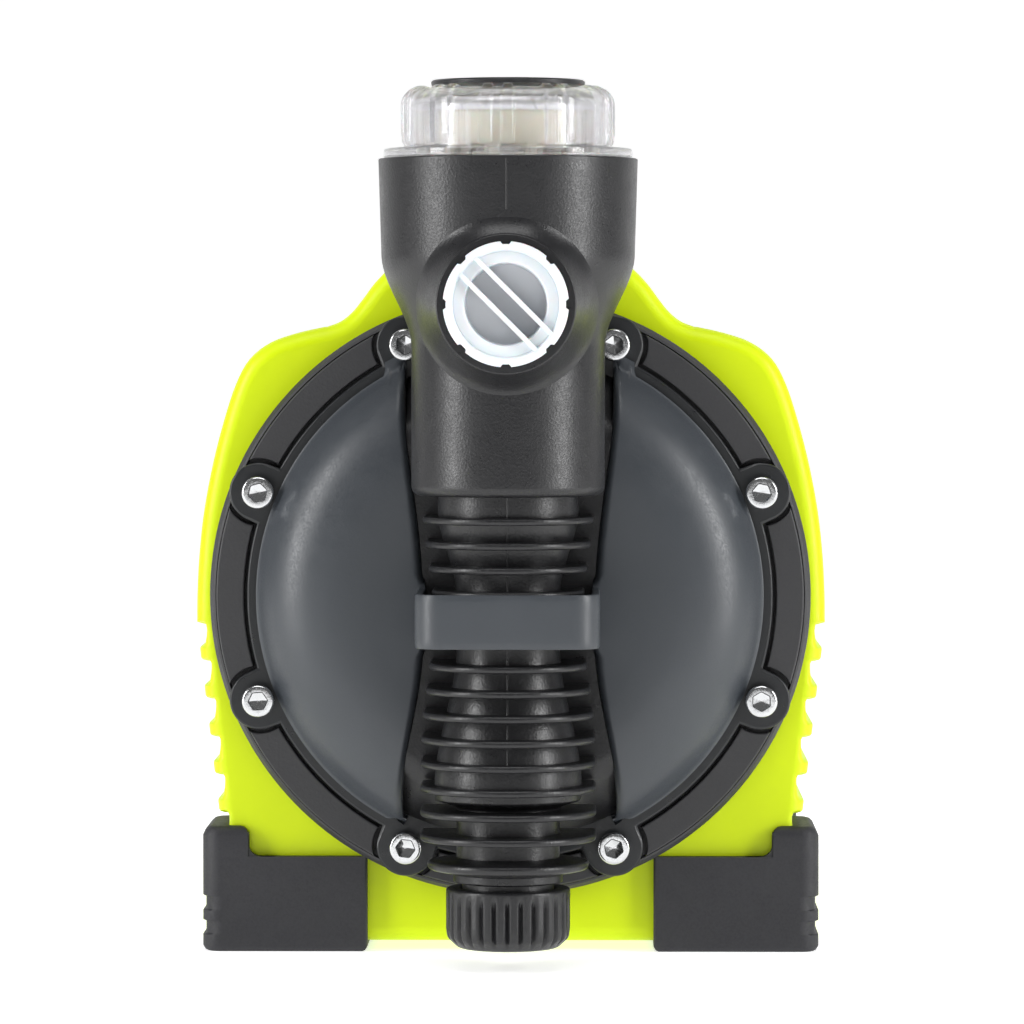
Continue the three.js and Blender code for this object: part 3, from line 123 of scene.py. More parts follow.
def path(*corners, closed=False, steps=6):
    """A line through corners (a, b, radius), each turned by an arc of that radius that touches both its
    sides."""
    corners = [tuple(c) + (0,) * (3 - len(c)) for c in corners]
    count, out = len(corners), []
    for k, (a, b, radius) in enumerate(corners):
        here = np.array([a, b], float)
        if radius == 0 or (not closed and k in (0, count - 1)):
            out.append(here[None])
            continue
        before = np.array(corners[k - 1][:2], float) - here
        after = np.array(corners[(k + 1) % count][:2], float) - here
        before_length, after_length = np.hypot(*before), np.hypot(*after)
        before, after = before / before_length, after / after_length
        half = math.acos(np.clip(before @ after, -1, 1)) / 2
        if half > math.radians(89):
            out.append(here[None])
            continue
        reach = min(radius / math.tan(half), before_length * 0.49, after_length * 0.49)
        radius = reach * math.tan(half)
        middle = here + (before + after) / np.hypot(*(before + after)) * radius / math.sin(half)
        start = here + before * reach - middle
        end = here + after * reach - middle
        turn = math.atan2(start[0] * end[1] - start[1] * end[0], start @ end)
        swing = np.linspace(0, turn, steps + 1)
        arc = np.stack([start[0] * np.cos(swing) - start[1] * np.sin(swing),
                        start[0] * np.sin(swing) + start[1] * np.cos(swing)], -1)
        out.append(middle + arc)
    return np.vstack(out)


def along(line, spacing, closed=False):
    """The same line with its long stretches cut into steps no longer than the spacing."""
    ends = np.vstack([line[1:], line[:1]]) if closed else line[1:]
    starts = line if closed else line[:-1]
    parts = []
    for start, end in zip(starts, ends):
        count = max(1, int(np.ceil(np.linalg.norm(end - start) / spacing)))
        parts.append(start + (end - start) * (np.arange(count) / count)[:, None])
    return np.vstack(parts if closed else parts + [line[-1:]])


def smooth(points, samples=12):
    """A Catmull-Rom curve through points: each stretch is the cubic whose slopes are half its neighbours'
    chord."""
    p = np.array(points, float)
    p = np.vstack([2 * p[0] - p[1], p, 2 * p[-1] - p[-2]])
    t = (np.arange(samples) / samples)[None, :, None]
    a, b, c, d = (p[k:len(p) - 3 + k, None] for k in range(4))
    curve = 0.5 * (2 * b + (c - a) * t + (2 * a - 5 * b + 4 * c - d) * t**2 + (3 * b - a - 3 * c + d) * t**3)
    return np.vstack([curve.reshape(-1, p.shape[1]), p[-2:-1]])


def turned(radius, height, x=0, y=0, z=0, axis="z", steps=96, closed=True):
    """A profile carried round an axis: point = centre + radius (cos a, sin a) across it + height along it.

    radius and height hold one value per profile point, or one per point and angle."""
    angle = np.arange(steps) * TAU / steps
    radius, height = (np.array(v, float) for v in (radius, height))
    radius = radius[:, None] if radius.ndim == 1 else radius
    height = height[:, None] if height.ndim == 1 else height
    across, up = radius * np.cos(angle), radius * np.sin(angle)
    rise = height + 0 * across
    order = {"z": (across, up, rise), "y": (across, rise, up), "x": (rise, across, up)}[axis]
    return grid(np.stack(order, -1) + np.array([x, y, z]), closed, True)


def lathe(line, x=0, y=0, z=0, axis="z", steps=96):
    """A closed line of (radius, height) points turned round an axis."""
    return turned(line[:, 0], line[:, 1], x, y, z, axis, steps)


def inset(outline, amount):
    """A closed outline drawn in by an amount along its own normal, which is its tangent turned a quarter."""
    tangent = np.roll(outline, -1, 0) - np.roll(outline, 1, 0)
    tangent = tangent / np.maximum(np.linalg.norm(tangent, axis=1, keepdims=True), 1e-9)
    area = np.sum(outline[:, 0] * np.roll(outline[:, 1], -1) - np.roll(outline[:, 0], -1) * outline[:, 1])
    return outline - np.stack([tangent[:, 1], -tangent[:, 0]], -1) * np.sign(area) * amount


def contour(*corners, steps=5):
    """An outline of corners (a, b, radius) as a function of how far it is drawn in: each corner moves by
    (n1 + n2) / (1 + n1 . n2) of its sides' normals, and its radius shrinks outside and grows inside by
    the same."""
    corners = np.array(corners, float)
    points, radii = corners[:, :2], corners[:, 2]
    ahead = np.roll(points, -1, 0) - points
    ahead /= np.linalg.norm(ahead, axis=1, keepdims=True)
    area = np.sum(points[:, 0] * np.roll(points[:, 1], -1) - np.roll(points[:, 0], -1) * points[:, 1])
    normal = np.stack([ahead[:, 1], -ahead[:, 0]], -1) * np.sign(area)
    before = np.roll(normal, 1, 0)
    shift = (normal + before) / (1 + np.sum(normal * before, 1, keepdims=True))
    bulge = np.sign(before[:, 0] * normal[:, 1] - before[:, 1] * normal[:, 0]) * np.sign(area)

    def drawn(draw):
        radius = np.maximum(radii - draw * bulge, 0.05)
        return path(*np.column_stack([points - shift * draw, radius]), closed=True, steps=steps)

    return drawn


def loft(rings):
    """A skin over a stack of closed rings, with a many-sided face on each end."""
    points, faces = grid(rings, False, True)
    first = np.arange(rings.shape[1])[None]
    return points, faces + [first, first + len(points) - rings.shape[1]]


def plate(outline, low, high, edge=1.0, axes="xzy", steps=3, back=None):
    """A flat plate with rounded rims: rings of outline(draw), drawn in by edge (1 - sin t) at edge (1 - cos
    t) from each face. axes says where the outline's a and b and the height go; the front face is the low
    one."""
    back = edge if back is None else back
    turn = np.linspace(0, math.pi / 2, steps + 1)
    draws = np.concatenate([back * (1 - np.sin(turn)), (edge * (1 - np.sin(turn)))[::-1]])
    heights = np.concatenate([high - back * (1 - np.cos(turn)), (low + edge * (1 - np.cos(turn)))[::-1]])
    rings = np.stack([outline(draw) for draw in draws])
    parts = {axes[0]: rings[..., 0], axes[1]: rings[..., 1],
             axes[2]: np.broadcast_to(heights[:, None], rings.shape[:2])}
    return loft(np.stack([parts["x"], parts["y"], parts["z"]], -1))


def swept(line, across, up, size, section):
    """A section (Nx2, unit half width and half height) carried along a line: p = line + across a w + up b
    h."""
    wide, tall = (np.broadcast_to(np.array(s, float), (len(line),))[:, None, None] for s in size)
    sideways = across[:, None] * section[None, :, :1] * wide
    return loft(line[:, None] + sideways + up[:, None] * section[None, :, 1:] * tall)


def soft_square(power=5, steps=24):
    """A square with full corners: |a|^n + |b|^n = 1."""
    angle = np.arange(steps) * TAU / steps
    cosine, sine = np.cos(angle), np.sin(angle)
    reach = (np.abs(cosine) ** power + np.abs(sine) ** power) ** (-1 / power)
    return np.stack([cosine * reach, sine * reach], -1)


def ease(value, low, high):
    """0 below low, 1 above high and 3t^2 - 2t^3 between."""
    t = np.clip((np.asarray(value, float) - low) / (high - low), 0, 1)
    return t * t * (3 - 2 * t)


def piece(name, surface, slot, replaces=(), body="pump_body", material=None, closed=True, sharp=38, solid=0):
    """A mesh object from points in millimetres and rows of faces, riding a body.

    Doubled points are merged, then the faces of a closed form are turned outwards."""
    points, faces = surface
    mesh = bpy.data.meshes.new(name)
    corners = np.concatenate([face.ravel() for face in faces])
    totals = np.concatenate([np.full(len(face), face.shape[1]) for face in faces])
    mesh.vertices.add(len(points))
    mesh.vertices.foreach_set("co", (points * MM).astype(np.float32).ravel())
    mesh.loops.add(len(corners))
    mesh.loops.foreach_set("vertex_index", corners.astype(np.int32))
    mesh.polygons.add(len(totals))
    mesh.polygons.foreach_set("loop_start", (np.cumsum(totals) - totals).astype(np.int32))
    mesh.polygons.foreach_set("loop_total", totals.astype(np.int32))
    mesh.update(calc_edges=True)
    work = bmesh.new()
    work.from_mesh(mesh)
    bmesh.ops.remove_doubles(work, verts=work.verts, dist=0.004 * MM)
    bmesh.ops.dissolve_degenerate(work, edges=work.edges, dist=0.002 * MM)
    loose = [vertex for vertex in work.verts if not vertex.link_faces]
    bmesh.ops.delete(work, geom=loose, context="VERTS")
    if closed:
        bmesh.ops.recalc_face_normals(work, faces=work.faces)
    work.to_mesh(mesh)
    work.free()
    mesh.shade_smooth()
    mesh.set_sharp_from_angle(angle=math.radians(sharp))
    mesh.materials.append(material or finishes[slot])
    thing = bpy.data.objects.new(name, mesh)
    bpy.context.scene.collection.objects.link(thing)
    if solid:
        wall = thing.modifiers.new("wall", "SOLIDIFY")
        wall.thickness, wall.offset = solid * MM, -1
    weights = thing.modifiers.new("flat_faces", "WEIGHTED_NORMAL")
    weights.keep_sharp = True
    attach(thing, body)
    if replaces:
        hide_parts(*replaces)
    return thing

# ---- Camera, floor and light -----------------------------------------------------------
camera_data = bpy.data.cameras.new("camera")
camera_data.lens = 197
camera_data.sensor_width = 36
camera_data.clip_end = 20
camera = bpy.data.objects.new("camera", camera_data)
camera.location = (0.025, flange_y * MM - 1.75, 0.194)
aim = Vector((0.0006, flange_y * MM, 0.1386))
camera.rotation_euler = (aim - camera.location).to_track_quat("-Z", "Y").to_euler()
bpy.context.scene.collection.objects.link(camera)
bpy.context.scene.camera = camera

world = bpy.data.worlds.new("studio")
bpy.context.scene.world = world
world.use_nodes = True
world.node_tree.nodes["Background"].inputs["Color"].default_value = (1, 1, 1, 1)
world.node_tree.nodes["Background"].inputs["Strength"].default_value = 0.16
bpy.context.scene.view_settings.view_transform = "Standard"


def softbox(name, place, target, width, height, power):
    """A rectangular area lamp at a place, turned to a target; sizes in metres, power in watts."""
    data = bpy.data.lights.new(name, "AREA")
    data.shape = "RECTANGLE"
    data.size, data.size_y, data.energy = width, height, power
    lamp = bpy.data.objects.new(name, data)
    lamp.location = place
    lamp.rotation_euler = (Vector(target) - lamp.location).to_track_quat("-Z", "Y").to_euler()
    bpy.context.scene.collection.objects.link(lamp)


softbox("left_softbox", (-1.5, -0.75, 0.5), (0, -0.1, 0.13), 0.4, 1.3, 22)
softbox("right_softbox", (1.5, -0.75, 0.5), (0, -0.1, 0.13), 0.4, 1.3, 22)
softbox("top_softbox", (0, -0.55, 1.5), (0, -0.1, 0.1), 1.2, 0.8, 10)
sweep = path((-5, 0), (4, 0, 2), (4, 6.0), steps=24) / MM
sides = np.array([-5, 5]) / MM
backdrop = grid(np.stack(np.broadcast_arrays(sides[:, None], sweep[:, 0], sweep[:, 1]), -1))
floor_mesh = bpy.data.meshes.new("floor")
floor_mesh.from_pydata((backdrop[0] * MM).tolist(), [], backdrop[1][0].tolist())
floor_mesh.shade_smooth()
floor = bpy.data.objects.new("floor", floor_mesh)
bpy.context.scene.collection.objects.link(floor)
paper = bpy.data.materials.new("white_paper_sweep")
paper.use_nodes = True
paper_shader = paper.node_tree.nodes["Principled BSDF"]
paper_shader.inputs["Base Color"].default_value = (0.9, 0.9, 0.9, 1)
paper_shader.inputs["Roughness"].default_value = 0.9
paper_shader.inputs["Specular IOR Level"].default_value = 0.1
paper_shader.inputs["Emission Color"].default_value = (1, 1, 1, 1)
paper_shader.inputs["Emission Strength"].default_value = 0.6
floor_mesh.materials.append(paper)

# ---- Materials -------------------------------------------------------------------------
def linear(code):
    """An sRGB hex code as linear RGBA: c/12.92 below 0.04045, else ((c + 0.055)/1.055)^2.4."""
    value = np.array([int(code[k:k + 2], 16) / 255 for k in (1, 3, 5)])
    value = np.where(value <= 0.04045, value / 12.92, ((value + 0.055) / 1.055) ** 2.4)
    return (*value, 1)


def add(tree, kind, inputs=None, **settings):
    """Adds a shader node, with settings, and inputs that are values or other nodes' outputs."""
    node = tree.nodes.new("ShaderNode" + kind)
    for key, value in settings.items():
        setattr(node, key, value)
    for key, value in (inputs or {}).items():
        if isinstance(value, bpy.types.NodeSocket):
            tree.links.new(value, node.inputs[key])
        else:
            node.inputs[key].default_value = value
    return node


def finish(name, light, dark, rough, grain, relief, patch=25, sheen_patch=6, stretch=(1, 1, 1), **fixed):
    """A surface with four scales of detail, each a noise on Object coordinates in millimetres: patches of
    colour, patches of gloss, the grain itself in bump and gloss, and single bright grains."""
    material = bpy.data.materials.new(name)
    material.use_nodes = True
    tree = material.node_tree
    shader = tree.nodes["Principled BSDF"]
    place = add(tree, "TexCoord").outputs["Object"]
    place = add(tree, "Mapping", {"Vector": place, "Scale": stretch}).outputs["Vector"]
    broad = add(tree, "TexNoise", {"Vector": place, "Scale": 1 / (patch * MM), "Detail": 4, "Roughness": 0.6})
    colour = add(tree, "Mix", {"Factor": broad.outputs["Fac"], "A": linear(dark), "B": linear(light)},
                 data_type="RGBA")
    middle = add(tree, "TexNoise", {"Vector": place, "Scale": 1 / (sheen_patch * MM), "Detail": 5,
                                    "Roughness": 0.65})
    fine = add(tree, "TexNoise", {"Vector": place, "Scale": 1 / (grain * MM), "Detail": 2, "Roughness": 0.5})
    speck = add(tree, "TexVoronoi", {"Vector": place, "Scale": 0.6 / (grain * MM)}, feature="F1")
    gloss = add(tree, "MapRange", {"Value": middle.outputs["Fac"], "From Min": 0.3, "From Max": 0.7,
                                   "To Min": rough - 0.05, "To Max": rough + 0.06})
    sparkle = add(tree, "MapRange", {"Value": fine.outputs["Fac"], "From Min": 0.35, "From Max": 0.7,
                                     "To Min": -0.06, "To Max": 0.08})
    rougher = add(tree, "Math", {0: gloss.outputs["Result"], 1: sparkle.outputs["Result"]}, operation="ADD")
    height = add(tree, "Math", {0: fine.outputs["Fac"], 1: speck.outputs["Distance"]}, operation="MULTIPLY")
    bump = add(tree, "Bump", {"Height": height.outputs["Value"], "Strength": 1, "Distance": relief * MM})
    tree.links.new(colour.outputs["Result"], shader.inputs["Base Color"])
    tree.links.new(rougher.outputs["Value"], shader.inputs["Roughness"])
    tree.links.new(bump.outputs["Normal"], shader.inputs["Normal"])
    for key, value in fixed.items():
        shader.inputs[key.replace("_", " ")].default_value = value
    return material


# Glass-filled polypropylene, injection moulded in a spark-eroded tool: near black, with a fine glittering
# grain that greys the highlights. The real grain is about 0.1 mm; it is drawn at 0.5 mm so that it shows.
black_plastic = finish("glass_filled_polypropylene_spark_eroded", "#1f1f21", "#171719", 0.36, 0.5, 0.07,
                       IOR=1.5)
# The same polypropylene off a smoother face of the tool: the flange, with fewer and flatter grains.
flange_plastic = finish("polypropylene_smooth_moulded", "#1c1e21", "#16181a", 0.36, 0.8, 0.02, IOR=1.5)
# Slate-grey ABS, moulded in a satin tool: cool, even, with broad soft highlights.
grey_plastic = finish("slate_abs_satin_moulded", "#3c4045", "#363a3f", 0.4, 0.6, 0.018, IOR=1.53)
# Polypropylene off a leather-grained tool: the ring of raised pads, matt with a coarser texture.
pad_plastic = finish("polypropylene_grained_moulded", "#363638", "#2e2e30", 0.5, 0.7, 0.06, IOR=1.5)
# Lime ABS, moulded and satin: strong even colour, slightly deeper in the broad patches.
green_plastic = finish("lime_abs_satin_moulded", "#D8EE00", "#CDE400", 0.42, 0.9, 0.012, IOR=1.53,
                       Specular_IOR_Level=0.3)
# Thermoplastic elastomer feet, moulded matt: dark slate, soft edges and a dry surface.
foot_plastic = finish("elastomer_matt_moulded", "#2c2c30", "#252529", 0.6, 0.7, 0.04, IOR=1.5)
# High-density polyethylene plug, moulded: waxy bluish white that lets a little light in.
white_plastic = finish("polyethylene_waxy_moulded", "#E2E6EA", "#D9DDE1", 0.4, 1.2, 0.02, IOR=1.54,
                       Subsurface_Weight=0.25, Subsurface_Scale=0.004)
# The floor of the plug's recess: the same polyethylene, its colour darkened as painted shade for the deep
# recess.
plug_floor_painted_shade = finish("polyethylene_painted_recess_shade", "#DDDEE1", "#D3D4D7", 0.45, 1.2, 0.03, IOR=1.54)
# Natural polypropylene filter, moulded: warm cream, slightly glossy.
cream_plastic = finish("natural_polypropylene_moulded", "#FBF4E2", "#F3E9D2", 0.4, 1.0, 0.02, IOR=1.49,
                       Subsurface_Weight=0.3, Subsurface_Scale=0.004)
# Nitrile rubber seals, moulded: flat black with a faint bloom.
rubber = finish("nitrile_rubber_moulded", "#1f1f1f", "#161616", 0.75, 0.6, 0.03, IOR=1.52)
# Dark glass-filled nylon of the hydraulics: matt, slightly blue.
inner_plastic = finish("glass_filled_nylon_moulded", "#34373b", "#2b2e32", 0.5, 0.6, 0.04, IOR=1.53)
# Sintered alumina seal face: off-white and lapped.
ceramic = finish("alumina_sintered_lapped", "#ECE9E2", "#E2DED4", 0.3, 0.4, 0.01, IOR=1.7)
# Stainless steel screws, cold headed and polished: bright, with fine turned lines.
steel = finish("stainless_steel_polished", "#D6D7D8", "#C4C5C7", 0.16, 0.5, 0.02, patch=6, sheen_patch=1.5,
               Metallic=1)
# Gravity-cast aluminium end shields and frame: pale grey with a sandy skin.
aluminium = finish("aluminium_gravity_cast", "#BDBFC1", "#AAACAF", 0.45, 0.9, 0.12, Metallic=1)
# Stacked electrical-steel laminations: dark grey with fine lines across the shaft.
laminations = finish("electrical_steel_stacked", "#7A7C80", "#5E6064", 0.5, 0.8, 0.2, stretch=(0.1, 1, 0.1),
                     Metallic=1)
# Enamelled copper wire, wound: warm and glossy, with the strands as fine ridges.
copper = finish("copper_enamelled_wound", "#C07A3E", "#A8622C", 0.3, 0.9, 0.3, stretch=(1, 0.3, 1),
                Metallic=1)
# Clear polycarbonate lid, moulded: water clear with a faint lavender cast and slightly wavy faces.
clear_plastic = finish("polycarbonate_clear_moulded", "#F7F6FB", "#F1F0F6", 0.08, 4.0, 0.03, IOR=1.585,
                       Transmission_Weight=1.0, Alpha=0.55)

finishes = {
    "black_plastic": black_plastic, "grey_plastic": grey_plastic, "ring_plastic": pad_plastic,
    "green_plastic": green_plastic, "foot_plastic": foot_plastic, "clear_plastic": clear_plastic,
    "cream_plastic": cream_plastic, "white_plastic": white_plastic, "inner_plastic": inner_plastic,
    "seal_rubber": rubber, "seal_ceramic": ceramic, "screw_steel": steel, "cast_aluminium": aluminium,
    "core_steel": laminations, "winding_copper": copper,
}
for part in frame["record"]["subparts"]:
    for hold in frame["nodes"][part["node"]].material_slots:
        hold.material = finishes[part["material_slot"]]

# ---- Front casing: tower, inlet collar, column, fins, dish and flange --------------------
tower_radius, neck_radius, tower_foot = 39.5, 29.5, casing_high[2] - 102.5
shoulder_top, shoulder_bottom = tower_top - 29.5, tower_top - 57.5
ledge_z = tower_top - 11.5
wall, seat_radius = 3.5, 31.8
port_radius, port_bore, port_blend = 20.9, 17.0, 28.5
port_face = casing_low[1]
flange_radius, ear_radius = 82, 9.2


def tower_reach(z):
    """Outer radius of the tower: the neck, an S (ease) up to the head, then a slight draft to the mouth."""
    head = tower_radius - 0.9 * (tower_top - z) / (tower_top - shoulder_top)
    return neck_radius + (head - neck_radius) * ease(z, shoulder_bottom, shoulder_top)


def tower():
    """A closed profile of the S-shaped outside, the rim, the seal ledge and the inside, turned round the
    tower's axis, with the cells inside the inlet bore left out of both walls."""
    heights = np.linspace(tower_foot + 5, tower_top - 1, 110)
    outside = np.stack([tower_reach(heights), heights], -1)
    bottom = path((0, tower_foot), (neck_radius, tower_foot, 4.5), (neck_radius, tower_foot + 6),
                  steps=8)[:-1]
    rim = path((tower_radius, tower_top - 1), (tower_radius, tower_top, 0.8),
               (tower_radius - wall, tower_top, 0.6), (tower_radius - wall, ledge_z),
               (seat_radius, ledge_z, 0.5), (seat_radius, ledge_z - 3))[1:]
    inner_heights = np.linspace(ledge_z - 4, tower_foot + 12, 60)
    inside = np.stack([np.minimum(tower_reach(inner_heights) - wall, seat_radius), inner_heights], -1)
    floor_line = path((neck_radius - wall, tower_foot + 11), (neck_radius - wall, tower_foot + 6, 4),
                      (0, tower_foot + 6))[1:]
    line = np.vstack([bottom, outside, rim, inside, floor_line])
    steps = 160
    surface, faces = turned(line[:, 0], line[:, 1], 0, tower_y, steps=steps)
    middle = surface[faces[0]].mean(1)
    away = np.hypot(middle[:, 0], middle[:, 2] - port_z)
    return surface, [faces[0][~((away < 19.2) & (middle[:, 1] < tower_y - 5))]]


def port_collar():
    """Rings about the port's axis. Outside the face, y = face + (tower - face) w(d), with w = 1 - (1 -
    t)^2.2, so the collar leaves its edge steeply and meets the tower in a concave sweep; then back
    inside the wall and out the bore."""
    steps = 160
    angle = np.arange(steps) * TAU / steps

    def ring(distance, share=None, y=None):
        distance = np.broadcast_to(distance, angle.shape)
        x, z = distance * np.cos(angle), port_z + distance * np.sin(angle)
        if share is not None:
            wall_y = tower_y - np.sqrt(np.maximum(tower_reach(z) ** 2 - x**2, 1)) + 0.25
            y = port_face + 0.9 + (wall_y - port_face - 0.9) * share
        return np.stack([x, np.broadcast_to(y, x.shape), z], -1)

    t = np.linspace(0, 1, 30)
    edge = port_radius + 0.15
    flare = [ring(edge + (port_blend - edge) * s, share=1 - (1 - s) ** 2.2) for s in t]
    lip = path((port_bore, port_face + 30), (port_bore, port_face + 0.2, 0.5),
               (port_bore + 1.2, port_face, 0.3), (port_radius, port_face, 0.9), (edge, port_face + 0.95))
    bore = [ring(r, y=h) for r, h in along(lip, 4)]
    back = [ring(port_blend - 0.5, share=1.04), ring(19.3, share=1.1), ring(18, y=port_face + 30)]
    return grid(np.stack(bore[:-1] + flare + back), True, True)


def column_reach(z):
    """Radius of the column: 21.5 under the tower, 15.8 at the waist, 22.5 above the foot, eased between
    them."""
    upper = 15.8 + 5.7 * ease(z, shaft_z + 2, tower_foot - 4)
    lower = 15.8 + 6.7 * ease(shaft_z * 2 - z, shaft_z + 14, shaft_z * 2 - 56)
    return np.where(z > shaft_z - 5, upper, lower)


def column():
    """The column's waisted outside down to a dark step, then the drain neck with its collar, turned round
    its axis."""
    heights = np.linspace(tower_foot + 2, 56, 60)
    waist = np.stack([column_reach(heights), heights], -1)
    neck = path((22.3, 54), (22.3, 52, 1), (15.8, 50, 1), (15.8, 30), (16.7, 29.5, 0.5), (16.7, 27, 0.6),
                (14.1, 26.6), (14.1, 12), (12.5, 12), (12.5, 150), (5, 150))
    line = np.vstack([waist, neck])
    web_outline = contour((-8, tower_y, 0.3), (8, tower_y, 0.3), (8, flange_y - 22, 0.3),
                          (-8, flange_y - 22, 0.3))
    web = plate(web_outline, 52, tower_foot + 1, 0.2, axes="xyz")
    return together(lathe(line, 0, tower_y, steps=96), web)


def fins():
    """Thin plates with rounded rims, each a half circle round the tower's axis with sides running back to
    the dish, r = 26.9 - 4 exp(-((z - 107.5) / 24)^2), and the bulging disc above the drain."""
    sheets = []
    fin_count, fin_pitch, top_fin, half_fin = 14, 7.45, 137.6, 1.1
    for z in top_fin - fin_pitch * np.arange(fin_count):
        radius = 26.9 - 4 * math.exp(-(((z - 107.5) / 24) ** 2))
        turn = np.linspace(math.pi, TAU, 60)

        def outline(draw):
            reach = radius - draw
            front = np.stack([reach * np.cos(turn), tower_y + reach * np.sin(turn)], -1)
            return np.vstack([front, [[reach, flange_y - 24 - draw], [-reach, flange_y - 24 - draw]]])

        sheets.append(plate(outline, z - half_fin, z + half_fin, 0.95, axes="xyz", steps=4))
    bulge = path((0, 29.5), (17, 29.5), (24.5, 31.0, 2), (24.9, 33.4, 1.5), (17.5, 34.6), (0, 34.6), steps=6)
    sheets.append(lathe(along(bulge, 4), 0, tower_y, steps=96))
    return together(*sheets)


def parting_line():
    """The fine bead the two halves of the tool leave down the front of the tower and the column."""
    beads = []
    for low, high, reach in ((port_z + 28.3, tower_top - 1, tower_reach), (62, tower_foot + 3, column_reach)):
        z = np.linspace(low, high, 60)
        line = np.stack([0 * z, tower_y - reach(z), z], -1)
        tangent = np.gradient(line, axis=0)
        tangent /= np.linalg.norm(tangent, axis=1, keepdims=True)
        out = np.stack([0 * z, -tangent[:, 2], tangent[:, 1]], -1)
        across = np.broadcast_to([1.0, 0, 0], line.shape)
        beads.append(swept(line, across, out, (0.28, 0.2), soft_square(2, 12)))
    return together(*beads)


def dish():
    """A closed profile of the pump chamber's front wall, turned round the shaft: flat face, big shoulder,
    rim."""
    line = path((0, -24.5), (61, -24.5, 9), (75.5, -5.8, 3), (75.5, -2), (71, -2), (58, -20.5, 6), (0, -20.5),
                steps=10)
    return lathe(along(line, 5), 0, flange_y, shaft_z, "y", 128)


def flange_outline(radius, ear):
    """r(a) = b ln(sum exp(r_i / b)) over the disc and the eight ears: a maximum with filleted corners."""
    blend, steps = 1.3, 720
    angle = np.arange(steps) * TAU / steps
    turn = angle[None] - bolt_angles[:, None]
    under = ear**2 - (bolt_circle * np.sin(turn)) ** 2
    far = bolt_circle * np.cos(turn) + np.sqrt(np.maximum(under, 0))
    reach = np.where((under > 0) & (np.cos(turn) > 0), far, 0)
    reach = np.vstack([np.full(steps, float(radius)), reach])
    radius = blend * np.log(np.exp((reach - radius) / blend).sum(0)) + radius
    return np.stack([radius * np.cos(angle), shaft_z + radius * np.sin(angle)], -1)


piece("filter_tower", tower(), "black_plastic", ["front_casing"], sharp=30)
piece("inlet_collar", port_collar(), "black_plastic", sharp=40)
piece("suction_column", column(), "black_plastic")
piece("parting_line", parting_line(), "black_plastic")
piece("column_fins", fins(), "black_plastic")
piece("chamber_dish", dish(), "black_plastic", sharp=30)
flange = plate(lambda draw: flange_outline(flange_radius - draw, ear_radius - draw), flange_y - 6,
               flange_y - 0.3, 0.8)
piece("casing_flange", flange, "black_plastic", material=flange_plastic)

# ---- Front cover: two dished lobes joined by a strap over the column ---------------------
cover_radius = 79.0
cover_wall = 2.2
strap_low, strap_high = 99.3, 115.7


def opening_half_width(z):
    """Half width of the opening round the column: 32.2 by the tower, 25.8 at the strap, 33 at the foot."""
    above = 25.8 + 6.4 * ease(z, strap_high - 4, strap_high + 62)
    below = 25.8 + 7.4 * ease(2 * shaft_z - z, 2 * shaft_z - strap_low - 2, 2 * shaft_z - strap_low + 52)
    return np.where(z > shaft_z - 5, above, below)


def cover_height(radius):
    """How far the cover stands in front of the flange: a steep rim, a round shoulder and a slightly hollow
    face."""
    line = smooth([(0, 26.2), (20, 26.3), (38, 26.9), (47, 27.2), (54, 26.9), (60, 25.7), (65, 23.8),
                   (69.5, 21.0), (73.2, 17.4), (76, 13.2), (77.8, 10), (79, 8.6), (82, 8.3), (86, 8.2)], 10)
    return np.interp(radius, line[:, 0], line[:, 1])


def lobe():
    """A polar grid: each ray runs from the opening, found by stepping r = w(z) / cos(a), to the rim, which
    reaches out in a tab at the upper end and steps in to a point at the lower end; the inner edge rolls
    back by a quarter round."""
    angle = np.radians(np.linspace(-65.2, 66.4, 150))
    start = np.full(angle.shape, 40.0)
    for _ in range(30):
        start = 0.5 * start + 0.5 * opening_half_width(shaft_z + start * np.sin(angle)) / np.cos(angle)
    degrees_up = np.degrees(angle)
    rim = cover_radius + 3.6 * ease(degrees_up, 60.5, 62.0) - 1.6 * ease(-degrees_up, 61.0, 63.0)
    start = np.minimum(start, rim - 1.2)
    share = np.linspace(0, 1, 70)
    radius = start + (rim - start) * share[:, None] ** 0.85
    height = cover_height(radius)
    away = (radius - start) * np.cos(angle)
    clear_of_strap = ease(np.abs(shaft_z + radius * np.sin(angle) - (strap_low + strap_high) / 2), 8.5, 13)
    roll = 0.01 + 3.2 * clear_of_strap
    height = height - np.where(away < roll, roll - np.sqrt(np.maximum(roll**2 - (roll - away) ** 2, 0)), 0)
    height = np.maximum(height, 7.4)
    x, z = radius * np.cos(angle), shaft_z + radius * np.sin(angle)
    inner = np.stack([x[:1], flange_y - np.maximum(height[:1] - 5, 6.6), z[:1]], -1)
    outer = np.stack([x[-1:], np.full_like(z[-1:], flange_y - 6.9), z[-1:]], -1)
    front = np.stack([x, flange_y - height, z], -1)
    return grid(np.vstack([inner, front, outer]))


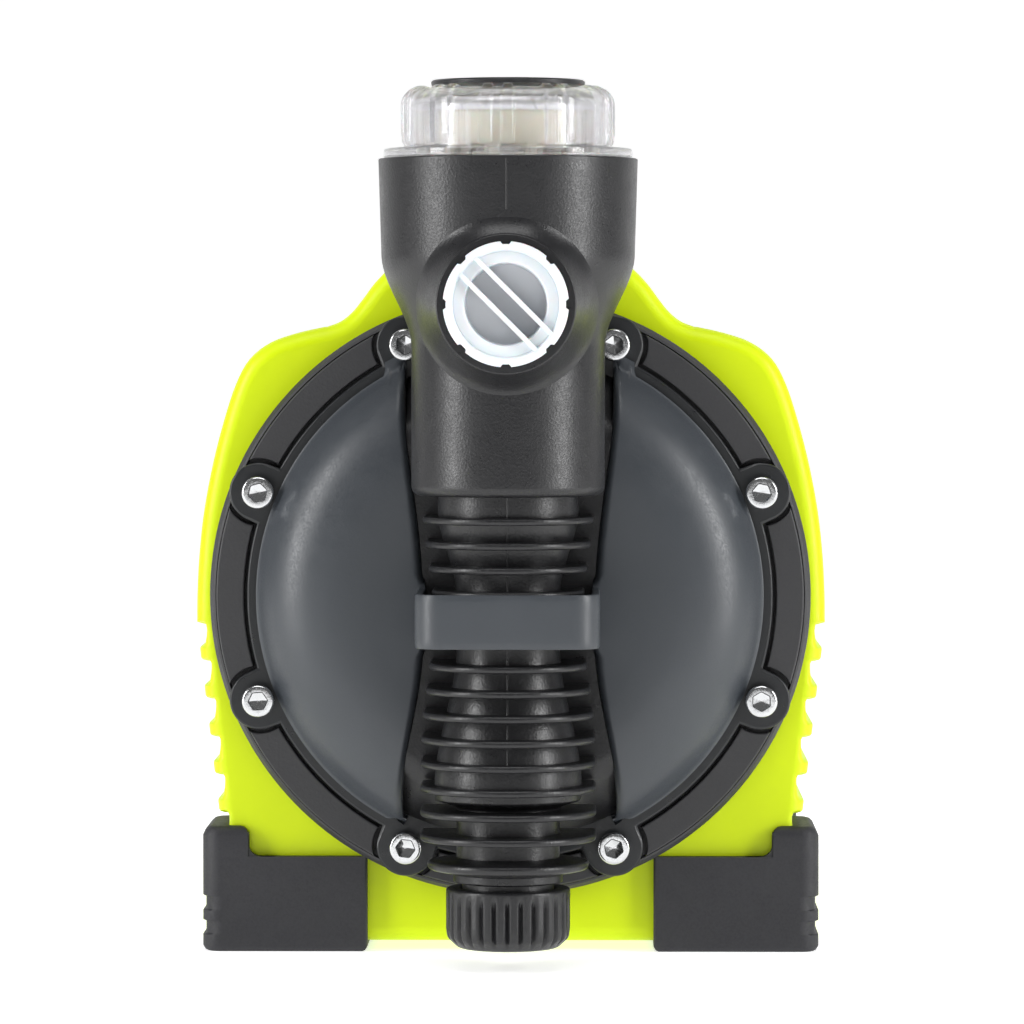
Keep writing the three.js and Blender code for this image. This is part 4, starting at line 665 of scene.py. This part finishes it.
def strap():
    """A band carried along a U: out of one lobe, forward, across in front of the column and back, with
    rounded corners; its height grows by 2.6 (1 - s / 13)^2 over the first 13 mm so that it flares into
    the lobes."""
    front = cover_low[1]
    line = along(path((-26.7, flange_y - 18), (-26.7, front + 1.3, 7.5), (26.7, front + 1.3, 7.5),
                      (26.7, flange_y - 18), steps=10), 2.0)
    line = np.column_stack([line[:, 0], line[:, 1], np.full(len(line), (strap_low + strap_high) / 2)])
    tangent = np.gradient(line, axis=0)
    tangent /= np.linalg.norm(tangent, axis=1, keepdims=True)
    across = np.stack([tangent[:, 1], -tangent[:, 0], 0 * tangent[:, 0]], -1)
    up = np.broadcast_to([0.0, 0.0, 1.0], line.shape)
    run = np.concatenate([[0], np.cumsum(np.linalg.norm(np.diff(line, axis=0), axis=1))])
    run = np.minimum(run, run[-1] - run)
    flare = 2.6 * np.clip(1 - run / 13, 0, 1) ** 2
    half = (strap_high - strap_low) / 2
    return swept(line, across, up, (1.3, half + flare), soft_square(9, 40))


piece("front_cover_right", lobe(), "grey_plastic", ["front_cover"], closed=False, sharp=45,
      solid=cover_wall)
piece("front_cover_left", mirrored(lobe()), "grey_plastic", closed=False, sharp=45,
      solid=cover_wall)
piece("column_strap", strap(), "grey_plastic")

# ---- Rear casing: ring, pads, drum; and the socket screws --------------------------------
def ring_and_drum():
    """A closed profile turned round the shaft: drum, ring with a sloped rim, the groove inside the pads."""
    line = path((70, 40), (79, 40, 3), (79, 5.5), (94, 5.5, 0.8), (94, 1.6, 0.8), (92.8, -0.6, 0.5),
                (92.1, -0.9), (91.6, 0.2, 0.3), (84.6, 0.2), (84.6, 0.9), (74, 0.9), (74, 35), (20, 35),
                (20, 40), steps=4)
    return lathe(along(line, 6), 0, flange_y, shaft_z, "y", 180)


def pads():
    """Eight raised pads. Each end follows the circle round an ear: at radius R it lies at the angle whose
    cosine is (R^2 + c^2 - e^2) / (2 R c) from the ear, c being the bolt circle and e the ear's room."""
    made = []
    for angle in bolt_angles:

        def outline(draw):
            low, high, room = 83.0 + draw, 91.7 - draw, 10.4 + draw
            level = np.linspace(high, low, 16)
            cosine = (level**2 + bolt_circle**2 - room**2) / (2 * level * bolt_circle)
            clear = np.arccos(np.clip(cosine, -1, 1))
            first, last = angle + clear, angle + TAU / 8 - clear
            outer = np.linspace(first[0], last[0], 40)[1:-1]
            inner = np.linspace(last[-1], first[-1], 40)[1:-1]
            turn = np.concatenate([first[::-1], outer, last, inner])
            radius = np.concatenate([level[::-1], np.full(38, high), level, np.full(38, low)])
            return np.stack([radius * np.cos(turn), shaft_z + radius * np.sin(turn)], -1)

        made.append(plate(outline, flange_y - pad_height, flange_y + 0.5, 0.6, back=0.1))
    return together(*made)


def socket_screw(radius, height, across_flats, depth, length, shank):
    """A head, its rounded rim, a hexagon socket whose radius at angle a is (flats / 2) / cos(a mod 60 -
    30), and a shank; the head points to +Z."""
    steps = 72
    angle = np.arange(steps) * TAU / steps
    hexagon = across_flats / 2 / np.cos((angle % (TAU / 6)) - TAU / 12)
    hexagon = np.minimum(hexagon, across_flats / 2 * 1.12)
    outside = path((0, -length), (shank, -length, 0.6), (shank, 0), (radius, 0, 0.3), (radius, height, 0.9),
                   (across_flats / 2 * 1.3, height), steps=5)
    rows = [(np.full(steps, r), h) for r, h in outside]
    rows += [(hexagon + 0.35, height), (hexagon + 0.05, height - 0.35), (hexagon, height - depth),
             (hexagon * 0.5, height - depth - 0.5), (np.zeros(steps), height - depth - 0.7)]
    radius = np.stack([r for r, _ in rows])
    return turned(radius, np.array([h for _, h in rows]), steps=steps, closed=False)


def faced_forward(surface, x, y, z, turn=0.0):
    """A surface made along +Z, turned about Z, then so that +Z becomes -Y, and carried to (x, y, z)."""
    across, up, out = surface[0].T
    cosine, sine = math.cos(turn), math.sin(turn)
    points = np.stack([x + cosine * across - sine * up, y - out, z + sine * across + cosine * up], -1)
    return points, surface[1]


piece("casing_ring", ring_and_drum(), "ring_plastic", ["rear_casing"], sharp=30)
piece("ring_pads", pads(), "ring_plastic")
head_radius, head_height, socket_flats = 5, 6, 5
for number in range(1, len(bolt_angles) + 1):
    low, high = node_box(f"cover_screw_{number}")
    head = socket_screw(head_radius, head_height, socket_flats, 3, 8, 3)
    middle = (low + high) / 2
    screw = faced_forward(head, middle[0], low[1] + head_height, middle[2], turn=number * 1.9)
    piece(f"socket_screw_{number}", screw, "screw_steel", [f"cover_screw_{number}"], sharp=25)

# ---- Lid, filter, plugs and drain cap ----------------------------------------------------
def clear_lid():
    """A closed shell turned round the tower: flange, wall, rounded shoulder and top outside, smooth wall
    inside. Ten pairs of ribs, 6 degrees either side of their middle, add up to 1 mm to the wall and the
    shoulder."""
    steps = 480
    angle = np.arange(steps) * TAU / steps
    pair = (angle - math.radians(12.6) + TAU / 20) % (TAU / 10) - TAU / 20
    away = np.minimum(np.abs(pair - math.radians(6)), np.abs(pair + math.radians(6))) * 32
    rib = 1 - ease(away, 1.3, 2.3)
    low, high = 247.8, lid_high[2]
    shoulder = path((31.7, 252.3), (31.7, high - 0.9, 4.5), (18, high - 0.9), steps=10)
    shoulder = along(shoulder, 3)
    brim = path((36.6, low), (38, low, 0.7), (38, 250.5, 0.9), (31.9, 250.5, 0.8), (31.7, 251.6))
    top = [[23.8, high - 0.9], [23.6, high - 1.2], [0, high - 1.2]]
    outside = np.vstack([brim, shoulder[shoulder[:, 0] > 24.4], top])
    inside = path((0, high - 3.4), (29.3, high - 3.4, 3.5), (29.3, 250), (32.6, 247.6, 1), (32.6, lid_low[2]),
                  (35.2, lid_low[2], 0.4), (35.2, low - 0.3))
    line = np.vstack([outside, along(inside, 5)])
    raised = ease(line[:, 1], 251.2, 253.0) * ease(line[:, 0], 23.6, 26.5)
    raised = raised * (np.arange(len(line)) < len(outside))
    climb = 1 - ease(line[:, 0], 27.5, 31.6)
    radius = line[:, :1] + raised[:, None] * rib * (1 - 0.6 * climb[:, None])
    height = line[:, 1:] + 0.9 * raised[:, None] * rib * climb[:, None]
    return turned(radius, height, 0, tower_y, steps=steps)


def filter_cage():
    """A tube about the tower's axis with cells left out for two rows of windows, its rims, and a broad
    foot."""
    low, high = node_box("filter_insert")
    low, high = low[2], high[2]
    heights = np.concatenate([np.linspace(low + 3, high - 7, 41), [high - 3.5, high - 0.8, high]])
    steps = 120
    radius = np.where(heights > high - 8, 18.0, 17.7)
    surface, faces = turned(radius, heights, 0, tower_y, steps=steps, closed=False)
    row, column = np.divmod(np.arange(len(faces[0])), steps)
    window = (column % 12 > 3) & (((row > 2) & (row < 19)) | ((row > 21) & (row < 38)))
    foot = lathe(path((17.6, low), (24, low, 0.5), (24, low + 3, 0.8), (17.6, low + 3)), 0, tower_y)
    top = lathe(path((11, high - 1.4), (18, high - 1.4), (18, high, 0.5), (11, high, 0.5)), 0, tower_y)
    return (surface, [faces[0][~window]]), together(foot, top)


def plug_rim():
    """The plug's rim and spigot turned round its axis, radius 18.7 less 0.85 in each of eight notches."""
    steps = 360
    angle = np.arange(steps) * TAU / steps
    off = np.abs((angle + TAU / 16) % (TAU / 8) - TAU / 16) * 18.7
    notch = 1 - ease(off, 1.1, 1.6)
    line = path((16.2, -12), (16.2, 1.4), (18.7, 1.4, 0.3), (18.7, 5.0, 0.7), (16.3, 5.0, 0.6), (16.2, 3.7),
                (15.6, 3.2), (14.6, 3.2), (14.6, -12), steps=5)
    cut = ((line[:, 0] > 17) & (line[:, 1] > 1.2)).astype(float)
    radius = line[:, :1] - 0.85 * cut[:, None] * notch
    return turned(radius, line[:, 1], steps=steps)


def plug_web():
    """The plug's inner ring, sloping a little, and the recessed floor, a closed profile round the axis."""
    line = path((14.7, 2.0), (15.9, 2.0), (15.9, 3.5, 0.4), (12.3, 3.1, 0.8), (11.7, -5.5), (14.7, -5.5),
                steps=4)
    return lathe(line, steps=120)


def plug_floor():
    """The floor of the plug's recess, dished by half a millimetre."""
    return lathe(path((0, -5.3), (6, -5.2), (11.8, -4.6), (11.8, -6.6), (0, -6.6)), steps=96)


def plug_bars():
    """Two upright walls across the recess, 3.3 mm either side of its middle, flush with the rim."""
    bars = []
    for side in (-1, 1):
        x = side * 3.3
        reach = math.sqrt(17.2**2 - x**2)
        outline = contour((x - 0.75, -reach, 0.1), (x + 0.75, -reach, 0.1), (x + 0.75, reach, 0.1),
                          (x - 0.75, reach, 0.1), steps=1)
        bars.append(plate(outline, -5.5, 4.8, 0.05, axes="xyz", steps=1))
    return together(*bars)


def drain_cap():
    """A cup turned round the column's axis: rounded foot, 28 narrow flutes 1.25 cos(14 a)^8 deep, a plain
    band above them, and a hollow top."""
    flute_count, flute_depth = 28, 1.25
    steps = flute_count * 14
    angle = np.arange(steps) * TAU / steps
    flute = np.cos(angle * flute_count / 2) ** 8
    low, high = cap_low[2], cap_high[2]
    line = path((0, low), (15.2, low, 3), (18.6, low + 3.2, 3), (19, low + 6), (19, high, 0.9),
                (14.6, high, 0.4), (14.6, high - 13), (0, high - 13), steps=7)
    line = along(line, 1.6)
    deep = ease(line[:, 1], low + 1.2, low + 3.4) * (1 - ease(line[:, 1], high - 3.6, high - 2.6))
    deep = deep * (line[:, 0] > 15.6)
    radius = line[:, :1] - flute_depth * deep[:, None] * flute
    return turned(radius, line[:, 1], 0, tower_y, steps=steps)


piece("lid_shell", clear_lid(), "clear_plastic", ["filter_lid"], body="lid", sharp=50)
disc_line = path((0, disc_low[2]), (23.3, disc_low[2]), (23.5, disc_high[2] - 0.5, 0.3),
                 (22.9, disc_high[2], 0.3), (0, disc_high[2]))
piece("lid_cover_disc", lathe(disc_line, 0, tower_y), "black_plastic", ["lid_disc"], body="lid")
cage, cage_rims = filter_cage()
piece("filter_cage", cage, "cream_plastic", ["filter_insert"], solid=1.8)
piece("filter_rims", cage_rims, "cream_plastic")
piece("drain_cap_fluted", drain_cap(), "black_plastic", ["drain_cap"], body="drain_closure", sharp=45)

port_seat = np.array([0, port_face, port_z])
outlet_seat = np.array([0, outlet_y, 236.0])
# The plug floors take the polyethylene whose darker colour is painted shade of the recess.
parts = (("rim", plug_rim, white_plastic), ("bars", plug_bars, white_plastic),
         ("ring", plug_web, white_plastic), ("floor", plug_floor, plug_floor_painted_shade))
for part, make, material in parts:
    inlet = faced_forward(make(), *port_seat, turn=TAU / 8)
    outlet = moved(make(), *outlet_seat)
    for place, surface in (("inlet", inlet), ("outlet", outlet)):
        piece(f"{place}_plug_{part}", surface, "white_plastic", [f"{place}_plug"] if part == "rim" else [],
              body=f"{place}_closure", material=material)

# ---- Valve spring ------------------------------------------------------------------------
spring_low, spring_high = node_box("valve_spring")
spring_wire, spring_turns, valve_travel = 0.7, 4, 7.0


def valve_spring():
    """A round wire carried round a helix: (r cos 2 pi n t, r sin 2 pi n t, low + (high - low) t)."""
    t = np.linspace(0, 1, spring_turns * 36)
    angle = TAU * spring_turns * t
    radius = (spring_high[0] - spring_low[0]) / 2 - spring_wire
    rise = spring_low[2] + spring_wire + (spring_high[2] - spring_low[2] - 2 * spring_wire) * t
    line = np.stack([radius * np.cos(angle), tower_y + radius * np.sin(angle), rise], -1)
    across = np.stack([np.cos(angle), np.sin(angle), 0 * angle], -1)
    up = np.broadcast_to([0.0, 0.0, 1.0], line.shape)
    return swept(line, across, up, (spring_wire, spring_wire), soft_square(2, 14))


spring = piece("valve_spring_coil", valve_spring(), "screw_steel", ["valve_spring"])
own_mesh(spring)

# ---- Motor housing -----------------------------------------------------------------------
louvre_pitch, louvre_count, waist_z = 12.0, 6, 103.0
half_width, foot_half_width = 99.0, 88.0
underside, roof_z = house_low[2], 196.5
bank, gap = 62.0, 12.0


def side_line(z):
    """Half width of the straight flank: 99 at the waist, narrowing evenly to 88 at the underside."""
    rise = np.clip((z - underside - 6) / (waist_z - underside - 6), 0, 1)
    return foot_half_width + (half_width - foot_half_width) * rise


def half_outline(toothed, hump):
    """The right half of the housing from the middle of the underside up to the middle of the top. Below the
    waist the flank is a row of louvres, each slanting out to a lip; above it the line leans in to a
    rounded shoulder."""
    foot = path((0, underside), (foot_half_width, underside, 5), (foot_half_width, underside + 14), steps=5)
    tooth = np.array([(-12.0, -2.6), (-11.8, -1.3), (-11.4, -0.3), (-10.8, 0), (-9.4, 0), (-8.0, 0),
                      (-7.3, -0.2), (-6.8, -1.0), (-6.0, -1.5), (-3.6, -2.1), (-2.0, -2.5), (-0.6, -2.7)])
    tops = waist_z - louvre_pitch * np.arange(louvre_count)[::-1]
    z = (tops[:, None] + tooth[None, :, 0]).ravel()
    x = side_line(z) + np.tile(tooth[:, 1] * 1.35, louvre_count) * toothed
    low = np.array([[side_line(z[0]) - 0.3, z[0] - 2.0]])
    up = smooth([(99, 103.4), (98.9, 112), (98.3, 124), (96.8, 138), (94.0, 153), (90.4, 167), (86.6, 178.5),
                 (82.2, 186.4), (75.5, 191.6), (67, 194.6), (58.5, roof_z)], 4)
    wing = smooth([(57.8, roof_z), (53.5, 198.2), (49.8, 201.2), (46.4, 205.4), (43, 210), (38.5, 214.6),
                   (33, 218.4), (26, 220.6), (14, 221), (0, 221)], 4)
    wing[:, 1] = roof_z + (wing[:, 1] - roof_z) * hump
    return np.vstack([foot, low, np.column_stack([x, z]), up, wing])


def housing():
    """Rows of the closed outline: the edge of the round hole behind the ring, the flat front, a round edge
    in which the inset falls as 1 - sin t, the flanks, and the rear edge. Cells under each lip are left
    out as air slots."""
    def closed(half):
        return np.vstack([half, (half * np.array([-1, 1]))[::-1][1:-1]])

    full, plain = closed(half_outline(1, 1)), closed(half_outline(0, 1))
    low_roof = closed(half_outline(1, 0))
    away = plain - np.array([0, shaft_z])
    hole = np.array([0, shaft_z]) + away / np.linalg.norm(away, axis=1, keepdims=True) * 80
    rows, levels = [], []
    face = inset(plain, 5.0)
    for share in (0, 0.35, 0.7, 1):
        rows.append(hole + (face - hole) * share)
        levels.append(house_front)
    for t in np.linspace(0, math.pi / 2, 7)[1:]:
        draw = 5.0 * (1 - math.sin(t))
        rows.append(inset(plain, draw) * (1 - math.sin(t) ** 2) + inset(full, draw) * math.sin(t) ** 2)
        levels.append(house_front + 5.0 * (1 - math.cos(t)))
    start = (house_front + house_rear - 2 * bank - gap) / 2
    for y in (house_front + 20, house_front + 34):
        rows.append(full)
        levels.append(y)
    for t in np.linspace(0, math.pi / 2, 6):
        share = math.sin(t)
        rows.append(full * (1 - share) + low_roof * share)
        levels.append(house_front + 36 + 6 * (1 - math.cos(t)))
    for y in (start, start + bank, start + bank + gap, start + 2 * bank + gap, house_rear - 12, house_rear):
        rows.append(low_roof)
        levels.append(y)
    order = np.argsort(levels, kind="stable")
    levels = np.array(levels)[order]
    rings = np.stack(rows)[order]
    points = np.stack([rings[..., 0], np.broadcast_to(levels[:, None], rings.shape[:2]), rings[..., 1]], -1)
    surface, faces = grid(points, False, True)
    middle = surface[faces[0]].mean(1)
    beside = np.abs(middle[:, 0]) > 80
    along_bank = (middle[:, 1] - start) % (bank + gap)
    in_bank = (middle[:, 1] > start) & (middle[:, 1] < start + 2 * bank + gap) & (along_bank < bank)
    below = waist_z - middle[:, 2]
    in_row = (below > 0) & (below < louvre_pitch * louvre_count)
    under_lip = (below % louvre_pitch > 0.6) & (below % louvre_pitch < 3.6)
    slot = beside & in_bank & in_row & under_lip
    return surface, [faces[0][~slot]]


def foot(side, front, rear):
    """A stack of plan outlines whose outer corners are rounded by 5.6 mm: a low block with grooves 1 mm deep in
    its flank, then an upstand on the outer side, and a concave corner of 5.4 mm between them."""
    def stack(inner, levels, corner):
        plan = contour((inner, front, corner), (97, front, 5.6), (97, rear, 5.6), (inner, rear, corner),
                       steps=7)
        rings = []
        for z, draw, groove in levels:
            ring = plan(draw)
            x = ring[:, 0] - groove * ease(ring[:, 0], 86, 93)
            rings.append(np.column_stack([x, ring[:, 1], np.full(len(ring), z)]))
        return loft(np.stack(rings))

    block = stack(45, [(0, 1.6, 0), (0.5, 0.7, 0), (1.6, 0, 0), (5.2, 0, 0), (5.6, 0, 1), (9.4, 0, 1),
                       (9.8, 0, 0), (12.8, 0, 0), (13.2, 0, 1), (17.2, 0, 1), (17.6, 0, 0), (30, 0, 0)], 0.9)
    upstand = stack(82.2, [(29, 0.4, 0), (30, 0, 0), (36.5, 0, 0), (38.3, 0.8, 0), (39.2, 1.8, 0),
                           (39.5, 3, 0)], 0.5)
    bend = path((74, 30), (82.3, 30, 5.4), (82.3, 37.5), steps=8)
    shape = np.vstack([bend, [[84, 37.5], [84, 27.5], [74, 27.5]]])
    corner = plate(lambda draw: shape, front + 0.3, rear - 0.3, 0)
    points, faces = together(block, upstand, corner)
    return points * np.array([side, 1, 1]), faces


piece("motor_housing", housing(), "green_plastic", ["housing"], sharp=32, solid=2.8)
for name, side in (("left", -1), ("right", 1)):
    for place in ("front", "rear"):
        low, high = node_box(f"foot_{place}_{name}")
        piece(f"rubber_foot_{place}_{name}", foot(side, low[1], high[1]), "foot_plastic",
              [f"foot_{place}_{name}"], sharp=40)
# ---- Rear cover, handle, outlet neck, switch, cable gland and plain screws ----------------
rear_low, rear_high = node_box("rear_cover")
rear_wall = 2.8
grille_radius, switch_reach = 64.0, 16.5
neck_low, neck_high = node_box("outlet_neck")
handle_low, handle_high = node_box("carry_handle")
switch_low, switch_high = node_box("switch_frame")
gland_low, gland_high = node_box("cable_gland")


def rear_shell():
    """The housing's outline carried back, shrinking about the shaft by 9 (1 - cos t) / 99 round a broad
    edge, then a flat face closing in on the grille's circle."""
    half = half_outline(0, 0)
    plain = along(np.vstack([half, (half * np.array([-1, 1]))[::-1][1:-1]]), 4, closed=True)
    centre = np.array([0, shaft_z])
    rows, levels = [plain, plain], [rear_low[1] + 0.2, rear_high[1] - 9]
    for t in np.linspace(0, math.pi / 2, 9)[1:]:
        rows.append(centre + (plain - centre) * (1 - 9 * (1 - math.cos(t)) / half_width))
        levels.append(rear_high[1] - 9 + 9 * math.sin(t))
    away = plain - centre
    circle = centre + away / np.linalg.norm(away, axis=1, keepdims=True) * grille_radius
    for share in (0.4, 0.75, 1):
        rows.append(rows[9] * (1 - share) + circle * share)
        levels.append(rear_high[1])
    rings = np.stack(rows)
    levels = np.broadcast_to(np.array(levels)[:, None], rings.shape[:2])
    return grid(np.stack([rings[..., 0], levels, rings[..., 1]], -1), False, True)


def grille():
    """The round middle of the rear cover as a grid: rows at the edges of nine slots and of the switch's
    hole, columns straight across the switch and then x = w + (sqrt(R^2 - z^2) - w) t out to the circle.
    Slot cells are left out."""
    slots = shaft_z + 9.0 * (np.arange(9) - 4)
    hole = (switch_low[2] + 2.2, switch_high[2] - 2.2)
    slots = slots[slots + 3 < hole[0]]
    plain = shaft_z + np.array([-63.9, -58, -50, 61.5, 63.9])
    z = np.sort(np.concatenate([slots - 1.8, slots + 1.8, hole, plain]))
    z = along(np.column_stack([z, 0 * z]), 2.5)[:, 0]
    half = np.sqrt(grille_radius**2 - (z - shaft_z) ** 2)
    inner = np.minimum(switch_reach, half * 0.9)
    t = np.linspace(0, 1, 15)
    right = inner[:, None] + (half - inner)[:, None] * t
    middle = inner[:, None] * np.linspace(-1, 1, 13)[1:-1]
    x = np.hstack([-right[:, ::-1], middle, right])
    points = np.stack([x, np.full_like(x, rear_high[1]), np.broadcast_to(z[:, None], x.shape)], -1)
    surface, faces = grid(points)
    centre = surface[faces[0]].mean(1)
    row, column = np.divmod(np.arange(len(faces[0])), x.shape[1] - 1)
    near = np.abs(centre[:, 2][:, None] - slots).min(1)
    last = x.shape[1] - 1
    spine = (column == last // 2 - 1) | (column == last // 2)
    within = (column >= 4) & (column < last - 4) & ~spine
    slot = (near < 1.75) & within
    opening = (np.abs(centre[:, 0]) < switch_reach) & (centre[:, 2] > hole[0]) & (centre[:, 2] < hole[1])
    return surface, [faces[0][~(slot | opening)]]


def handle():
    """A rounded bar carried up, along the housing and down again, its section a soft rectangle that grows
    by up to 1.6 and 2.6 mm over the last 30 mm to each foot."""
    low, high = handle_low, handle_high
    bar = 7.2
    line = along(path((low[1] + 10, low[2] + 0.6), (low[1] + 10, high[2] - bar, 16),
                      (high[1] - 10, high[2] - bar, 16), (high[1] - 10, low[2] + 0.6), steps=12), 3)
    line = np.column_stack([0 * line[:, 0], line])
    tangent = np.gradient(line, axis=0)
    tangent /= np.linalg.norm(tangent, axis=1, keepdims=True)
    across = np.broadcast_to([1.0, 0.0, 0.0], line.shape)
    up = np.stack([0 * line[:, 0], -tangent[:, 2], tangent[:, 1]], -1)
    run = np.concatenate([[0], np.cumsum(np.linalg.norm(np.diff(line, axis=0), axis=1))])
    run = np.minimum(run, run[-1] - run)
    grow = np.clip(1 - run / 30, 0, 1) ** 2
    return swept(line, across, up, (12.2 + 1.6 * grow, bar + 2.6 * grow), soft_square(3.2, 40))


def outlet_neck():
    """The outlet's pipe and its thicker rim with a bore, turned round the outlet's axis."""
    low, high = neck_low[2], neck_high[2]
    line = path((14.5, low), (18, low), (18, high - 13), (20.9, high - 9.5, 2.5), (20.9, high, 0.9),
                (17, high, 0.6), (17, high - 14), (14.5, high - 14))
    return lathe(along(line, 4), 0, outlet_y, steps=128)


def switch_bezel():
    """Four sides of a soft-edged frame round the rocker, and the dark box behind it."""
    low, high = switch_low, switch_high
    middle_z = (low[2] + high[2]) / 2
    reach = (high[2] - low[2]) / 2
    wide = high[0]
    rows = []
    outline = contour((-wide, middle_z - reach, 3), (wide, middle_z - reach, 3),
                      (wide, middle_z + reach, 3), (-wide, middle_z + reach, 3), steps=5)
    for draw, y in ((2.6, low[1]), (2.6, high[1] - 2.2), (0, high[1] - 2.1), (0, high[1] - 0.7),
                    (0.7, high[1]), (4.4, high[1]), (5.0, high[1] - 0.6), (5.0, low[1] + 2),
                    (9, low[1] + 2)):
        ring = outline(draw)
        rows.append(np.column_stack([ring[:, 0], np.full(len(ring), y), ring[:, 1]]))
    return loft(np.stack(rows))


def gland():
    """The cable gland turned about its axis: collar, a nut with eighteen shallow grips and a rounded dome."""
    steps = 18 * 8
    angle = np.arange(steps) * TAU / steps
    low, high = gland_low[1], gland_high[1]
    line = along(path((4, low), (8, low), (8, high - 13.9), (10, high - 13.9), (10, high - 9, 0.8),
                      (9, high - 8.4), (9, high - 4, 0.6), (6, high, 2), (4, high)), 1.5)
    grip = (line[:, 0] > 8.4) & (line[:, 1] > high - 8.5)
    radius = line[:, :1] - 0.5 * grip[:, None] * np.cos(angle * 9) ** 8
    x, z = (gland_low[0] + gland_high[0]) / 2, (gland_low[2] + gland_high[2]) / 2
    return turned(radius, line[:, 1], x, 0, z, "y", steps)


piece("rear_cover_shell", rear_shell(), "green_plastic", ["rear_cover"], closed=False,
      solid=rear_wall)
piece("rear_grille", grille(), "green_plastic", closed=False, solid=rear_wall)
piece("carry_handle_bar", handle(), "black_plastic", ["carry_handle"])
piece("outlet_pipe", outlet_neck(), "black_plastic", ["outlet_neck"], sharp=30)
piece("switch_bezel", switch_bezel(), "black_plastic", ["switch_frame"], sharp=30)
piece("cable_gland_body", gland(), "black_plastic", ["cable_gland"], sharp=45)
for number in (1, 2):
    low, high = node_box(f"rear_screw_{number}")
    head = socket_screw(high[0] - (low[0] + high[0]) / 2, 2.2, 3, 1.3, high[1] - low[1] - 2.3, 1.9)
    points, faces = head
    middle = (low + high) / 2
    screw = np.stack([-points[:, 0] + middle[0], high[1] - 2.3 + points[:, 2], points[:, 1] + middle[2]], -1)
    piece(f"rear_screw_head_{number}", (screw, faces), "screw_steel", [f"rear_screw_{number}"],
          sharp=25)
